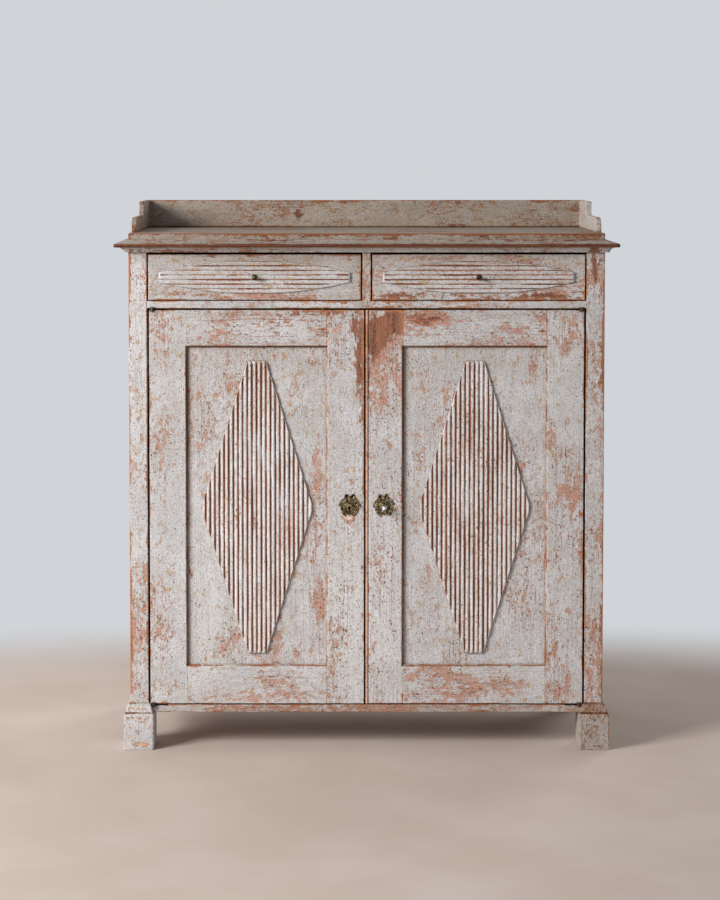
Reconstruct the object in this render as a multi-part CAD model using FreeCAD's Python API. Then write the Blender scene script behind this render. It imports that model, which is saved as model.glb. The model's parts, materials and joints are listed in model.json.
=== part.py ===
# Painted two-door buffet: a framed carcass on block feet, two panelled doors with reeded
# lozenges, two drawers above them, a moulded cornice and a low gallery round the top.
# Millimetres. +Z is up, the front faces -Y and the origin lies under the middle of the piece.
import FreeCAD, Part
import math
import os

Vector = FreeCAD.Vector

# Carcass posts, sides, floor and back
body_width = 1132.0
body_depth = 450.0
stile_width = 43.5
stile_depth = 30.0
rear_stile_depth = 45.0
side_thick = 20.0
side_tongue_thick = 8.0
side_tongue_length = 8.0
floor_thick = 18.0
floor_drop = 5.0
floor_setback = 2.0
floor_housing = 6.0
back_thick = 14.0
back_lap = 20.0
back_board_count = 5
back_board_gap = 0.5

# Rails, divider and top
drawer_rail_thick = 17.5
drawer_rail_depth = 60.0
top_rail_height = 21.5
top_rail_depth = 24.0
rail_tenon_thick = 9.0
rail_tenon_length = 22.0
rail_tenon_inset = 8.0
rear_rail_height = 45.0
rear_rail_depth = 22.0
rear_tenon_thick = 12.0
rear_tenon_height = 30.0
divider_width = 20.0
divider_depth = 24.0
divider_tenon_thick = 9.0
divider_tenon_depth = 12.0
divider_tenon_length = 8.0
top_thick = 24.0

# Wood-to-wood clearances, the room at a tenon's end and the overrun of a cut
fit = 0.2
end_room = 2.0
overrun = 5.0

# Cornice: how far it stands out, its heights and its profile from the body outwards
cornice_out = 32.0
cornice_drop = 0.5
cornice_height = 30.0
cornice_outer_shares = (0.31, 0.74, 0.97, 1.0, 1.0, 0.95, 0.06)
cornice_height_shares = (0.0, 0.4, 0.45, 0.5, 0.66, 0.7, 1.0)
cornice_cove_share = 0.5
cornice_cove_rise_share = 0.24

# Gallery
gallery_height = 70.0
gallery_thick = 11.0
gallery_inset = 5.0
gallery_housing = 3.0
gallery_high_length = 196.0
gallery_low_height = 36.0
gallery_front_setback = 37.0
gallery_step_radius = 8.0
gallery_nose_radius = 26.0
gallery_tail_height = 30.0
gallery_tail_root_share = 0.7

# Front feet
foot_block_height = 86.0
foot_flare_height = 25.0
foot_depth = 90.0
foot_out = 15.0
foot_in = 13.0
foot_forward = 15.0
foot_dowel_radius = 9.0
foot_dowel_length = 30.0
flare_out_shares = (1.0, 0.84, 0.84, 0.72, 0.55, 0.36, 0.08)
flare_height_shares = (0.0, 0.06, 0.2, 0.24, 0.62, 0.9, 1.0)

# Shelves, their cleats and the door stops
shelf_thick = 18.0
shelf_setback = 55.0
shelf_end_play = 0.4
shelf_height_shares = (0.35, 0.67)
cleat_width = 18.0
cleat_height = 26.0
stop_length = 60.0
stop_depth = 12.0
stop_height = 12.0
stop_gap = 0.3
stop_place_share = 0.7

# Nails of the back boards
nail_shank_radius = 1.6
nail_length = 36.0
nail_head_radius = 4.5
nail_head_thick = 1.5
nail_edge = 30.0

# Doors
door_height = 945.5
door_thick = 26.0
door_floor_gap = 3.5
door_rail_gap = 4.5
door_side_gap = 5.0
meeting_gap = 4.0
meeting_offset = -4.0
door_stile_width = 90.0
door_top_rail = 88.0
door_bottom_rail = 93.0
panel_recess = 9.0
panel_edge_thick = 7.0
panel_thick = 12.0
panel_groove = 9.0
panel_room = 1.0
panel_bevel = 32.0
panel_splay = 4.0
panel_splay_depth = 5.0
door_tenon_length = 60.0
door_tenon_inset = 12.0
door_tenon_shoulder = 22.0
bead_width = 6.0
quirk_width = 3.0
quirk_depth = 4.0

# Reeded lozenges on the doors and drawers
door_reed_count = 24
door_reed_end_count = 4
door_lozenge_side_gap = 34.55
door_lozenge_end_gap = 31.25
door_lozenge_drop = 3.0
drawer_reed_pitch = 10.9
drawer_reed_count = 7
drawer_reed_end_count = 2
drawer_lozenge_end_gap = 26.05
reed_base = 2.4
reed_rise = 3.4

# Pivot hinges at the doors' outer corners
pivot_inset = 7.5
pivot_forward = 1.5
pivot_ear_radius = 5.0
pivot_plate_length = 34.0
pivot_plate_depth = 14.0
pivot_plate_setback = 2.0
pivot_plate_thick = 3.0
pivot_pin_radius = 3.0
pivot_running = 0.05
pivot_collar_radius = 4.6
pivot_lift = 0.3

# Drawers
drawer_height = 108.0
drawer_floor_gap = 2.5
drawer_top_gap = 5.0
drawer_end_gap = 3.2
drawer_rear_gap = 22.0
drawer_front_thick = 22.0
drawer_side_thick = 12.0
drawer_side_drop = 10.0
drawer_back_drop = 8.0
drawer_run_play = 0.3
drawer_bottom_lift = 8.0
drawer_bottom_thick = 8.0
drawer_groove = 6.0
drawer_tail_length = 14.0
drawer_tail_count = 3
drawer_tail_margin = 4.0
tail_root_share = 0.5
tail_tip_share = 0.68
runner_thick = 18.0
runner_bearing = 24.0
guide_height = 30.0
guide_play = 1.2

# Drawer knobs
knob_shank_radius = 2.0
knob_rose_radius = 6.5
knob_rose_thick = 1.6
knob_neck_radius = 2.8
knob_neck_length = 4.0
knob_radius = 5.5

# Escutcheons: an oval medal under a ribbon bow, with a leafy swag down each side
medal_width = 32.0
medal_height = 35.0
medal_plate_thick = 1.5
medal_ring_width = 3.4
medal_ring_thick = 3.2
medal_boss_width = 22.0
medal_boss_height = 24.5
medal_boss_thick = 2.3
bow_loop_width = 13.0
bow_loop_height = 9.0
bow_loop_wire = 2.4
bow_thick = 2.6
bow_rise = 25.0
bow_spread = 6.6
bow_tilt = 38.0
bow_knot_width = 8.0
bow_knot_height = 10.0
bow_knot_drop = 5.5
swag_half_width = 19.4
swag_half_height = 20.4
swag_leaf_width = 6.0
swag_leaf_height = 7.2
swag_thick = 2.2
swag_leaf_count = 9
swag_first_angle = 66.0
swag_last_angle = -54.0
ribbon_half_width = 25.5
ribbon_half_height = 26.5
ribbon_drop = 1.0
ribbon_leaf_width = 4.6
ribbon_leaf_height = 6.4
ribbon_leaf_count = 5
ribbon_first_angle = 62.0
ribbon_last_angle = 18.0
right_medal_tilt = 6.0
left_medal_edge = 34.5
right_medal_edge = 44.0
medal_height_share = 0.5

# Lock, key and keyhole in the right door
keyhole_radius = 4.0
keyhole_slot_width = 4.4
keyhole_slot_length = 13.0
lock_edge = 2.0
lock_width = 84.0
lock_height = 76.0
lock_depth = 15.0
lock_wall = 2.0
lock_above_share = 0.55
bolt_length = 66.0
bolt_height = 13.0
bolt_thick = 6.0
bolt_lift = 3.0
bolt_above_key = 7.5
bolt_nose = 1.0
bolt_slot_play = 0.3
bolt_throw = 14.0
talon_width = 7.0
talon_depth = 5.5
key_radius = 3.0
key_running = 0.05
key_collar_radius = 4.6
key_collar_thick = 2.5
key_collar_gap = 0.5
key_bow_reach = 21.0
key_bow_width = 18.0
key_bow_wire = 4.0
key_bow_thick = 4.6
key_bit_reach = 12.0
key_bit_thick = 3.0
key_rest_tilt = 40.0

# Slip bolt on the back of the left door
slip_edge = 45.0
slip_width = 12.0
slip_thick = 5.0
slip_length = 118.0
slip_below_top = 4.0
slip_travel = 18.0
slip_play = 0.3
slip_knob_radius = 4.5
slip_knob_length = 9.0
slip_plate_width = 27.0
slip_plate_thick = 2.0
slip_plate_length = 104.0
slip_strap_height = 12.0
slip_strap_thick = 2.5
slip_strap_margin = 8.0
slip_hole_play = 1.0
slip_hole_depth = 12.0

# Levels, from the floor up
z_foot = foot_block_height + foot_flare_height
z_floor = z_foot - floor_drop
z_floor_low = z_floor - floor_thick
z_door_low = z_floor + door_floor_gap
z_door_high = z_door_low + door_height
z_rail_low = z_door_high + door_rail_gap
z_rail_high = z_rail_low + drawer_rail_thick
z_drawer_low = z_rail_high + drawer_floor_gap
z_drawer_high = z_drawer_low + drawer_height
z_top_rail = z_drawer_high + drawer_top_gap
z_carcass = z_top_rail + top_rail_height
z_top = z_carcass + top_thick
z_panel_low = z_door_low + door_bottom_rail
z_panel_high = z_door_high - door_top_rail
z_gallery = z_top - gallery_housing
z_medal = z_door_low + door_height * medal_height_share

# Planes across the piece and from front to back
x_half = body_width / 2
x_open = x_half - stile_width
x_side = x_half - side_thick
x_foot_inner = x_open - foot_in
x_foot_outer = x_half + foot_out
y_front = (cornice_out - body_depth) / 2
y_back = y_front + body_depth
y_stile = y_front + stile_depth
y_rear = y_back - rear_stile_depth
y_boards = y_back - back_thick
y_foot = y_front - foot_forward
y_foot_back = y_foot + foot_depth
y_door_back = y_front + door_thick
y_panel = y_front + panel_recess
y_shelf = y_front + shelf_setback
y_pivot = y_front - pivot_forward
x_pivot = x_open - door_side_gap - pivot_inset

# Sizes that follow from the openings they fill
drawer_depth = body_depth - back_thick - drawer_rear_gap
drawer_width = x_open - divider_width / 2 - 2 * drawer_end_gap
drawer_lozenge_length = drawer_width - 2 * drawer_lozenge_end_gap
door_panel_width = x_open - door_side_gap - 2 * door_stile_width - meeting_gap / 2
door_panel_height = door_height - door_top_rail - door_bottom_rail
door_reed_pitch = (door_panel_width - 2 * door_lozenge_side_gap) / door_reed_count
door_lozenge_height = door_panel_height - 2 * door_lozenge_end_gap


# Basic solids

def box(x, y, z):
    """Box between pairs of limits along the three axes, given in either order."""
    corner = Vector(min(x), min(y), min(z))
    return Part.makeBox(max(x) - min(x), max(y) - min(y), max(z) - min(z), corner)


def on_plane(axis, level):
    """Return the map from a pair of coordinates to the plane that cuts an axis at a level."""
    planes = {
        "x": lambda first, second: Vector(level, first, second),
        "y": lambda first, second: Vector(first, level, second),
        "z": lambda first, second: Vector(first, second, level),
    }
    return planes[axis]


def along(axis, length):
    """Vector of a given length along an axis."""
    return Vector(*(length if name == axis else 0 for name in "xyz"))


def outline_face(steps, axis, level):
    """Face in an outline: a point is a straight run, a pair of points an arc through the first."""
    place = on_plane(axis, level)
    start = place(*steps[0])
    here = start
    edges = []
    for step in steps[1:]:
        if isinstance(step[0], tuple):
            through, stop = (place(*point) for point in step)
            edges.append(Part.Arc(here, through, stop).toShape())
        else:
            stop = place(*step)
            edges.append(Part.makeLine(here, stop))
        here = stop
    edges.append(Part.makeLine(here, start))
    return Part.Face(Part.Wire(edges))


def mapped(steps, place):
    """Outline with every point put through a map."""
    moved = []
    for step in steps:
        if isinstance(step[0], tuple):
            moved.append(tuple(place(*point) for point in step))
        else:
            moved.append(place(*step))
    return moved


def slab(steps, axis, low, high):
    """Outline pushed along an axis from one level to another."""
    return outline_face(steps, axis, low).extrude(along(axis, high - low))


def joined(solids):
    """One solid from several that meet or overlap."""
    return solids[0].fuse(solids[1:]).removeSplitter()


def save(node, *solids):
    """Write one node, as a single solid or as a group of them."""
    shape = solids[0] if len(solids) == 1 else Part.makeCompound(list(solids))
    shape.exportStep("parts/" + node + ".step")


# Carcass

def foot_envelope(side, grow):
    """Space that a front foot takes up, grown on every face."""
    x = (side * (x_foot_inner - grow), side * (x_foot_outer + grow))
    return box(x, (y_foot - grow, y_foot_back + grow), (0, z_foot + grow))


def rear_stile_space(side, grow):
    """Space of a rear post, grown on the faces that look into the carcass."""
    x = (side * (x_open - grow), side * x_half)
    return box(x, (y_rear - grow, y_back), (0, z_carcass))


def rail_tenon(side, z_middle, grow, room):
    """Tenon of a front rail in a front post, or its mortise when grown."""
    half = rail_tenon_thick / 2 + grow
    x = (side * x_open, side * (x_open + rail_tenon_length + room))
    y = (y_front + rail_tenon_inset - grow, y_stile - rail_tenon_inset + grow)
    return box(x, y, (z_middle - half, z_middle + half))


def rear_tenon(side, grow, room):
    """Tenon of the rear rail in a rear post, or its mortise when grown."""
    x = (side * x_open, side * (x_open + rail_tenon_length + room))
    y_middle = y_boards - rear_rail_depth / 2
    z_middle = z_carcass - rear_rail_height / 2
    half_thick = rear_tenon_thick / 2 + grow
    half_height = rear_tenon_height / 2 + grow
    y = (y_middle - half_thick, y_middle + half_thick)
    return box(x, y, (z_middle - half_height, z_middle + half_height))


def side_tongue(side, y, grow):
    """Upright tongue in the middle of a side's thickness."""
    middle = x_half - side_thick / 2
    half = side_tongue_thick / 2 + grow
    return box((side * (middle - half), side * (middle + half)), y, (z_floor_low, z_carcass))


def foot_dowel(side, radius, length):
    """Round dowel that stands on a foot and enters the post above."""
    centre = Vector(side * (x_open + stile_width / 2), y_front + stile_depth / 2, z_foot)
    return Part.makeCylinder(radius, length, centre)


def front_stile(side):
    """Front post, mortised for the rails and grooved for the side boards."""
    post = box((side * x_open, side * x_half), (y_front, y_stile), (z_foot, z_carcass))
    groove = side_tongue(side, (y_stile - side_tongue_length - end_room, y_stile), fit)
    mortises = [rail_tenon(side, z, fit, end_room) for z in rail_middles()]
    socket = foot_dowel(side, foot_dowel_radius + fit, foot_dowel_length + end_room)
    return post.cut([groove, socket] + mortises)


def rail_middles():
    """Heights of the middles of the drawer rail and the top rail."""
    return (z_rail_low + drawer_rail_thick / 2, z_top_rail + top_rail_height / 2)


def rear_stile(side):
    """Rear post, which runs down to the floor as a leg and is rebated for the back boards."""
    post = box((side * x_open, side * x_half), (y_rear, y_back), (0, z_carcass))
    rebate_x = (side * x_open, side * (x_open + back_lap))
    rebate = box(rebate_x, (y_boards, y_back), (z_floor_low, z_carcass))
    groove = side_tongue(side, (y_rear, y_rear + side_tongue_length + end_room), fit)
    return post.cut([rebate, groove, rear_tenon(side, fit, end_room)])


def side_boards(side):
    """Two upright boards of a side, tongued into the posts and into each other."""
    x = (side * x_side, side * x_half)
    z = (z_floor_low, z_carcass)
    y_middle = (y_stile + y_rear) / 2
    y_tongue = y_middle + side_tongue_length
    front = joined([
        box(x, (y_stile, y_middle), z),
        side_tongue(side, (y_stile - side_tongue_length, y_stile), 0),
        side_tongue(side, (y_middle, y_tongue), 0),
    ])
    rear = joined([
        box(x, (y_middle, y_rear), z),
        side_tongue(side, (y_rear, y_rear + side_tongue_length), 0),
    ])
    housing = floor_outline(fit)
    front = front.cut([foot_envelope(side, fit), housing])
    rear = rear.cut([side_tongue(side, (y_middle, y_tongue + end_room), fit), housing])
    return [front, rear]


def floor_outline(grow):
    """The floor before it is notched, grown where it is housed in the sides."""
    x = x_side + floor_housing + grow
    return box((-x, x), (y_front + floor_setback, y_boards), (z_floor_low, z_floor + grow))


def bottom_board():
    """Floor of the cupboard, notched round the feet and rear posts and let in for the pivots."""
    notches = [foot_envelope(side, fit) for side in (-1, 1)]
    notches += [rear_stile_space(side, fit) for side in (-1, 1)]
    recess_z = (z_floor - pivot_plate_thick - fit, z_floor + overrun)
    recesses = [pivot_plate(side, recess_z, fit) for side in (-1, 1)]
    return floor_outline(0).cut(notches + recesses + back_nails())


def divider_tenon(z, grow):
    """Tenon of the drawer divider, or its mortise when grown."""
    half = divider_tenon_thick / 2 + grow
    y_middle = y_front + divider_depth / 2
    half_depth = divider_tenon_depth / 2 + grow
    return box((-half, half), (y_middle - half_depth, y_middle + half_depth), z)


def drawer_rail():
    """Rail between the doors and the drawers, with the slip bolt's hole in its underside."""
    z_middle, _ = rail_middles()
    depth = (y_front, y_front + drawer_rail_depth)
    bar = box((-x_open, x_open), depth, (z_rail_low, z_rail_high))
    tenons = [rail_tenon(side, z_middle, 0, 0) for side in (-1, 1)]
    mortise = divider_tenon((z_rail_high - divider_tenon_length - fit, z_rail_high), fit)
    recess_z = (z_rail_low - overrun, z_rail_low + pivot_plate_thick + fit)
    recesses = [pivot_plate(side, recess_z, fit) for side in (-1, 1)]
    hole = slip_bar((z_rail_low - overrun, z_rail_low + slip_hole_depth), slip_hole_play)
    return joined([bar] + tenons).cut([mortise, hole] + recesses)


def drawer_divider():
    """Short post between the two drawers."""
    half = divider_width / 2
    return joined([
        box((-half, half), (y_front, y_front + divider_depth), (z_rail_high, z_top_rail)),
        divider_tenon((z_rail_high - divider_tenon_length, z_rail_high), 0),
        divider_tenon((z_top_rail, z_top_rail + divider_tenon_length), 0),
    ])


def top_rail():
    """Front rail under the top, hidden behind the cornice."""
    _, z_middle = rail_middles()
    bar = box((-x_open, x_open), (y_front, y_front + top_rail_depth), (z_top_rail, z_carcass))
    tenons = [rail_tenon(side, z_middle, 0, 0) for side in (-1, 1)]
    mortise = divider_tenon((z_top_rail, z_top_rail + divider_tenon_length + fit), fit)
    return joined([bar] + tenons).cut(mortise)


def rear_top_rail():
    """Rail between the rear posts, to which the back boards are nailed."""
    y = (y_boards - rear_rail_depth, y_boards)
    bar = box((-x_open, x_open), y, (z_carcass - rear_rail_height, z_carcass))
    rail = joined([bar] + [rear_tenon(side, 0, 0) for side in (-1, 1)])
    return rail.cut(back_nails())


def side_runner(side):
    """Runner and guide of one drawer, against the side of the carcass."""
    z_low = z_rail_high - runner_thick
    x_bearing = x_open - runner_bearing
    x_guide = x_open - drawer_end_gap + guide_play
    outline = [
        (side * x_side, z_low),
        (side * x_bearing, z_low),
        (side * x_bearing, z_rail_high),
        (side * x_guide, z_rail_high),
        (side * x_guide, z_rail_high + guide_height),
        (side * x_side, z_rail_high + guide_height),
    ]
    return slab(outline, "y", y_front + drawer_rail_depth, y_rear)


def middle_runner():
    """Runner and guide that both drawers share, behind the divider."""
    z_low = z_rail_high - runner_thick
    x_bearing = divider_width / 2 + runner_bearing
    x_guide = divider_width / 2 + drawer_end_gap - guide_play
    outline = [
        (-x_bearing, z_low),
        (x_bearing, z_low),
        (x_bearing, z_rail_high),
        (x_guide, z_rail_high),
        (x_guide, z_rail_high + guide_height),
        (-x_guide, z_rail_high + guide_height),
        (-x_guide, z_rail_high),
        (-x_bearing, z_rail_high),
    ]
    return slab(outline, "y", y_front + drawer_rail_depth, y_boards)


def cornice_profile():
    """Cornice section as distances out from the body and heights, from its foot upwards."""
    z_low = z_top_rail + cornice_drop
    outs = [cornice_out * share for share in cornice_outer_shares]
    heights = [z_low + cornice_height * share for share in cornice_height_shares]
    points = list(zip(outs, heights))
    cove = (cornice_out * cornice_cove_share, z_low + cornice_height * cornice_cove_rise_share)
    return [(0, z_low), points[0], (cove, points[1])] + points[2:] + [(0, heights[-1])]


def cornice_front():
    """Front length of the cornice, mitred at both ends."""
    profile = mapped(cornice_profile(), lambda out, z: (y_front - out, z))
    x_tip = x_half + cornice_out
    y_tip = y_front - cornice_out
    length = slab(profile, "x", -x_tip, x_tip)
    plan = [(-x_half, y_front), (-x_tip, y_tip), (x_tip, y_tip), (x_half, y_front)]
    return length.common(slab(plan, "z", z_top_rail, z_top))


def cornice_side(side):
    """Side length of the cornice, mitred at the front and square at the back."""
    x_tip = side * (x_half + cornice_out)
    y_tip = y_front - cornice_out
    profile = mapped(cornice_profile(), lambda out, z: (side * (x_half + out), z))
    length = slab(profile, "y", y_tip, y_back)
    plan = [(side * x_half, y_front), (x_tip, y_tip), (x_tip, y_back), (side * x_half, y_back)]
    return length.common(slab(plan, "z", z_top_rail, z_top))


def gallery_tail(side, grow):
    """Dovetail that ties the gallery's back into an end, or its socket when grown."""
    x_inner = x_half - gallery_inset - gallery_thick
    x_outer = x_half - gallery_inset
    z_middle = z_top + gallery_height / 2
    tip = gallery_tail_height / 2 + grow
    root = gallery_tail_height * gallery_tail_root_share / 2 + grow
    outline = [
        (side * x_inner, z_middle - root),
        (side * x_outer, z_middle - tip),
        (side * x_outer, z_middle + tip),
        (side * x_inner, z_middle + root),
    ]
    return slab(outline, "y", y_back - gallery_thick, y_back)


def gallery_end(side):
    """Stepped end of the gallery, low and round-nosed in front and high at the back."""
    x = (side * (x_half - gallery_inset - gallery_thick), side * (x_half - gallery_inset))
    y_nose = y_front + gallery_front_setback
    y_step = y_back - gallery_high_length
    z_low = z_top + gallery_low_height
    corner_share = 1 - math.sqrt(2) / 2
    nose_middle = gallery_nose_radius * corner_share
    step_middle = gallery_step_radius * corner_share
    outline = [
        (y_back, z_gallery),
        (y_back, z_top + gallery_height),
        (y_step, z_top + gallery_height),
        (y_step, z_low + gallery_step_radius),
        ((y_step - step_middle, z_low + step_middle), (y_step - gallery_step_radius, z_low)),
        (y_nose + gallery_nose_radius, z_low),
        ((y_nose + nose_middle, z_low - nose_middle), (y_nose, z_low - gallery_nose_radius)),
        (y_nose, z_gallery),
    ]
    return slab(outline, "x", min(x), max(x)).cut(gallery_tail(side, fit))


def gallery_back():
    """Back board of the gallery, dovetailed into the ends."""
    x = x_half - gallery_inset - gallery_thick
    board = box((-x, x), (y_back - gallery_thick, y_back), (z_gallery, z_top + gallery_height))
    return joined([board] + [gallery_tail(side, 0) for side in (-1, 1)])


def top_board():
    """Top of the carcass, with the grooves that the gallery's boards stand in."""
    x_outer = x_half - gallery_inset
    x_inner = x_outer - gallery_thick
    y_nose = y_front + gallery_front_setback
    z_groove = (z_gallery, z_top + overrun)
    grooves = [box((-x_inner, x_inner), (y_back - gallery_thick - fit, y_back), z_groove)]
    for side in (-1, 1):
        x = (side * (x_inner - fit), side * (x_outer + fit))
        grooves.append(box(x, (y_nose - fit, y_back), z_groove))
    return box((-x_half, x_half), (y_front, y_back), (z_carcass, z_top)).cut(grooves)


def back_board_limits():
    """Left and right edges of each back board."""
    x_edge = x_open + back_lap
    pitch = (2 * x_edge + back_board_gap) / back_board_count
    starts = [-x_edge + pitch * index for index in range(back_board_count)]
    return [(start, start + pitch - back_board_gap) for start in starts]


def back_boards():
    """Upright boards that close the back, each pierced by its nails."""
    boards = [box(x, (y_boards, y_back), (z_floor_low, z_carcass)) for x in back_board_limits()]
    return [board.cut(back_nails()) for board in boards]


def back_nail(x, z):
    """Hand-made nail through a back board, with its head let in flush."""
    centre = Vector(x, y_back - nail_length, z)
    shank = Part.makeCylinder(nail_shank_radius, nail_length, centre, along("y", 1))
    head_centre = Vector(x, y_back - nail_head_thick, z)
    head = Part.makeCylinder(nail_head_radius, nail_head_thick, head_centre, along("y", 1))
    return joined([shank, head])


def back_nails():
    """Nails that hold the back boards to the floor and to the rear rail."""
    heights = (z_floor_low + floor_thick / 2, z_carcass - rear_rail_height / 2)
    places = []
    for low, high in back_board_limits():
        for x in (low + nail_edge, high - nail_edge):
            places += [(x, z) for z in heights]
    return [back_nail(x, z) for x, z in places]


def foot_outline(inner_out, outer_out, inner, outer):
    """Section of a foot: an upright block whose top draws in to the post by a moulded flare."""
    heights = [foot_block_height + foot_flare_height * share for share in flare_height_shares]
    outer_points = [(outer + outer_out * share, z) for share, z in zip(flare_out_shares, heights)]
    inner_points = [(inner + inner_out * share, z) for share, z in zip(flare_out_shares, heights)]
    bottom = [(inner + inner_out, 0), (outer + outer_out, 0)]
    return bottom + outer_points + inner_points[::-1]


def front_foot(side):
    """Block foot with a flare on its front and both sides, and a dowel into the post."""
    across = foot_outline(-side * foot_in, side * foot_out, side * x_open, side * x_half)
    lengthwise = foot_outline(-foot_forward, 0, y_front, y_foot_back)
    front_view = slab(across, "y", y_foot, y_foot_back)
    side_view = slab(lengthwise, "x", side * x_foot_inner, side * x_foot_outer)
    return joined([front_view.common(side_view), foot_dowel(side, foot_dowel_radius, foot_dowel_length)])


def shelf_levels():
    """Undersides of the shelves."""
    return [z_floor + (z_rail_low - z_floor) * share for share in shelf_height_shares]


def shelf(z):
    """Shelf notched round the rear posts."""
    x = x_side - shelf_end_play
    board = box((-x, x), (y_shelf, y_boards), (z, z + shelf_thick))
    return board.cut([rear_stile_space(side, shelf_end_play) for side in (-1, 1)])


def shelf_cleat(side, z):
    """Batten on a side board, under the end of a shelf."""
    return box((side * (x_side - cleat_width), side * x_side), (y_shelf, y_rear), (z - cleat_height, z))


def door_stop(side, z):
    """Small block behind a closed door."""
    middle = side * x_open * stop_place_share
    x = (middle - stop_length / 2, middle + stop_length / 2)
    y_stop = y_door_back + stop_gap
    return box(x, (y_stop, y_stop + stop_depth), z)


def door_stops():
    """Stops on the floor and under the drawer rail."""
    levels = ((z_floor, z_floor + stop_height), (z_rail_low - stop_height, z_rail_low))
    return [door_stop(side, z) for side in (-1, 1) for z in levels]


# Pivot hinges

def pivot_plate(side, z, grow):
    """Leaf of a pivot hinge with its ear round the pivot, between two levels."""
    x = side * x_pivot
    ear = pivot_ear_radius + grow
    y_low = y_front + pivot_plate_setback
    y_high = y_low + pivot_plate_depth + grow
    z_low = min(z)
    disc = Part.makeCylinder(ear, max(z) - z_low, Vector(x, y_pivot, z_low))
    neck = box((x - ear, x + ear), (y_pivot, y_high), z)
    leaf_end = side * (x_pivot - pivot_plate_length - grow)
    leaf = box((x + side * ear, leaf_end), (y_low - grow, y_high), z)
    return joined([disc, neck, leaf])


def pivot_rod(side, radius, z):
    """Round of a given radius on a door's pivot line."""
    return Part.makeCylinder(radius, max(z) - min(z), Vector(side * x_pivot, y_pivot, min(z)))


def fixed_pivots(side):
    """Leaves let into the floor and the drawer rail, each with its collar and pin."""
    pin_reach = pivot_plate_thick - pivot_lift
    lower = joined([
        pivot_plate(side, (z_floor - pivot_plate_thick, z_floor), 0),
        pivot_rod(side, pivot_collar_radius, (z_floor, z_door_low - pivot_lift)),
        pivot_rod(side, pivot_pin_radius, (z_floor, z_door_low + pin_reach)),
    ])
    upper = joined([
        pivot_plate(side, (z_rail_low, z_rail_low + pivot_plate_thick), 0),
        pivot_rod(side, pivot_collar_radius, (z_door_high + pivot_lift, z_rail_low)),
        pivot_rod(side, pivot_pin_radius, (z_door_high - pin_reach, z_rail_low)),
    ])
    return [lower, upper]


def door_pivots(side):
    """Leaves let into the door's ends, each with the hole that turns on a pin."""
    lower = (z_door_low, z_door_low + pivot_plate_thick)
    upper = (z_door_high - pivot_plate_thick, z_door_high)
    leaves = []
    for z in (lower, upper):
        hole_z = (min(z) - overrun, max(z) + overrun)
        hole = pivot_rod(side, pivot_pin_radius + pivot_running, hole_z)
        leaves.append(pivot_plate(side, z, 0).cut(hole))
    return leaves


def pivot_recesses(side):
    """Room for the leaves in the ends of a door's outer stile."""
    lower = (z_door_low - overrun, z_door_low + pivot_plate_thick + fit)
    upper = (z_door_high - pivot_plate_thick - fit, z_door_high + overrun)
    return [pivot_plate(side, lower, fit), pivot_plate(side, upper, fit)]


# Doors

def door_edges(side):
    """Hinge edge and meeting edge of a door."""
    return side * (x_open - door_side_gap), meeting_offset + side * meeting_gap / 2


def panel_opening(side, grow):
    """Left and right limits of a door's panel opening, grown on both edges."""
    hinge, meeting = door_edges(side)
    x = (hinge - side * door_stile_width, meeting + side * door_stile_width)
    return min(x) - grow, max(x) + grow


def panel_space(side):
    """Space of the groove round a door's panel opening."""
    z = (z_panel_low - panel_groove, z_panel_high + panel_groove)
    return box(panel_opening(side, panel_groove), (y_panel, y_panel + panel_edge_thick), z)


def panel_splay_space(side):
    """Cutter that splays the front arris of the panel opening, mitred at its corners."""
    x_low, x_high = panel_opening(side, panel_splay)
    x2_low, x2_high = panel_opening(side, 0)
    return Part.makeWedge(
        x_low, y_front, z_panel_low - panel_splay, z_panel_low, x2_low,
        x_high, y_front + panel_splay_depth, z_panel_high + panel_splay, z_panel_high, x2_high,
    )


def door_tenons(side, z_inner, z_outer, grow, room):
    """Both tenons of a door rail between its inner and outer edge, or their mortises."""
    x_low, x_high = panel_opening(side, 0)
    step = 1 if z_outer > z_inner else -1
    z = (z_inner + step * (door_tenon_inset - grow), z_outer - step * (door_tenon_shoulder - grow))
    y = (y_panel - grow + fit, y_panel + panel_edge_thick + grow - fit)
    reach = door_tenon_length + room
    return [box((x_low - reach, x_low), y, z), box((x_high, x_high + reach), y, z)]


def all_mortises(side):
    """Mortises for the top and bottom rails of a door."""
    upper = door_tenons(side, z_panel_high, z_door_high, fit, end_room)
    return upper + door_tenons(side, z_panel_low, z_door_low, fit, end_room)


def hinge_stile(side):
    """Outer stile of a door, let in for the pivot leaves."""
    hinge, _ = door_edges(side)
    x = (hinge, hinge - side * door_stile_width)
    post = box(x, (y_front, y_door_back), (z_door_low, z_door_high))
    cutters = [panel_space(side), panel_splay_space(side)] + all_mortises(side)
    return post.cut(cutters + pivot_recesses(side))


def left_meeting_stile():
    """Plain meeting stile of the left door."""
    _, meeting = door_edges(-1)
    x = (meeting - door_stile_width, meeting)
    post = box(x, (y_front, y_door_back), (z_door_low, z_door_high))
    return post.cut([panel_space(-1), panel_splay_space(-1)] + all_mortises(-1))


def right_meeting_stile():
    """Meeting stile of the right door, with a bead down its edge and the keyhole."""
    _, edge = door_edges(1)
    radius = bead_width / 2
    x_quirk = edge + bead_width
    outline = [
        (edge, y_door_back),
        (edge, y_front + radius),
        ((edge + radius, y_front), (x_quirk, y_front + radius)),
        (x_quirk, y_front + quirk_depth),
        (x_quirk + quirk_width, y_front + quirk_depth),
        (x_quirk + quirk_width, y_front),
        (edge + door_stile_width, y_front),
        (edge + door_stile_width, y_door_back),
    ]
    post = slab(outline, "z", z_door_low, z_door_high)
    cutters = [panel_space(1), panel_splay_space(1), keyhole(x_key(), y_front, y_door_back)]
    return post.cut(cutters + all_mortises(1))


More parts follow.
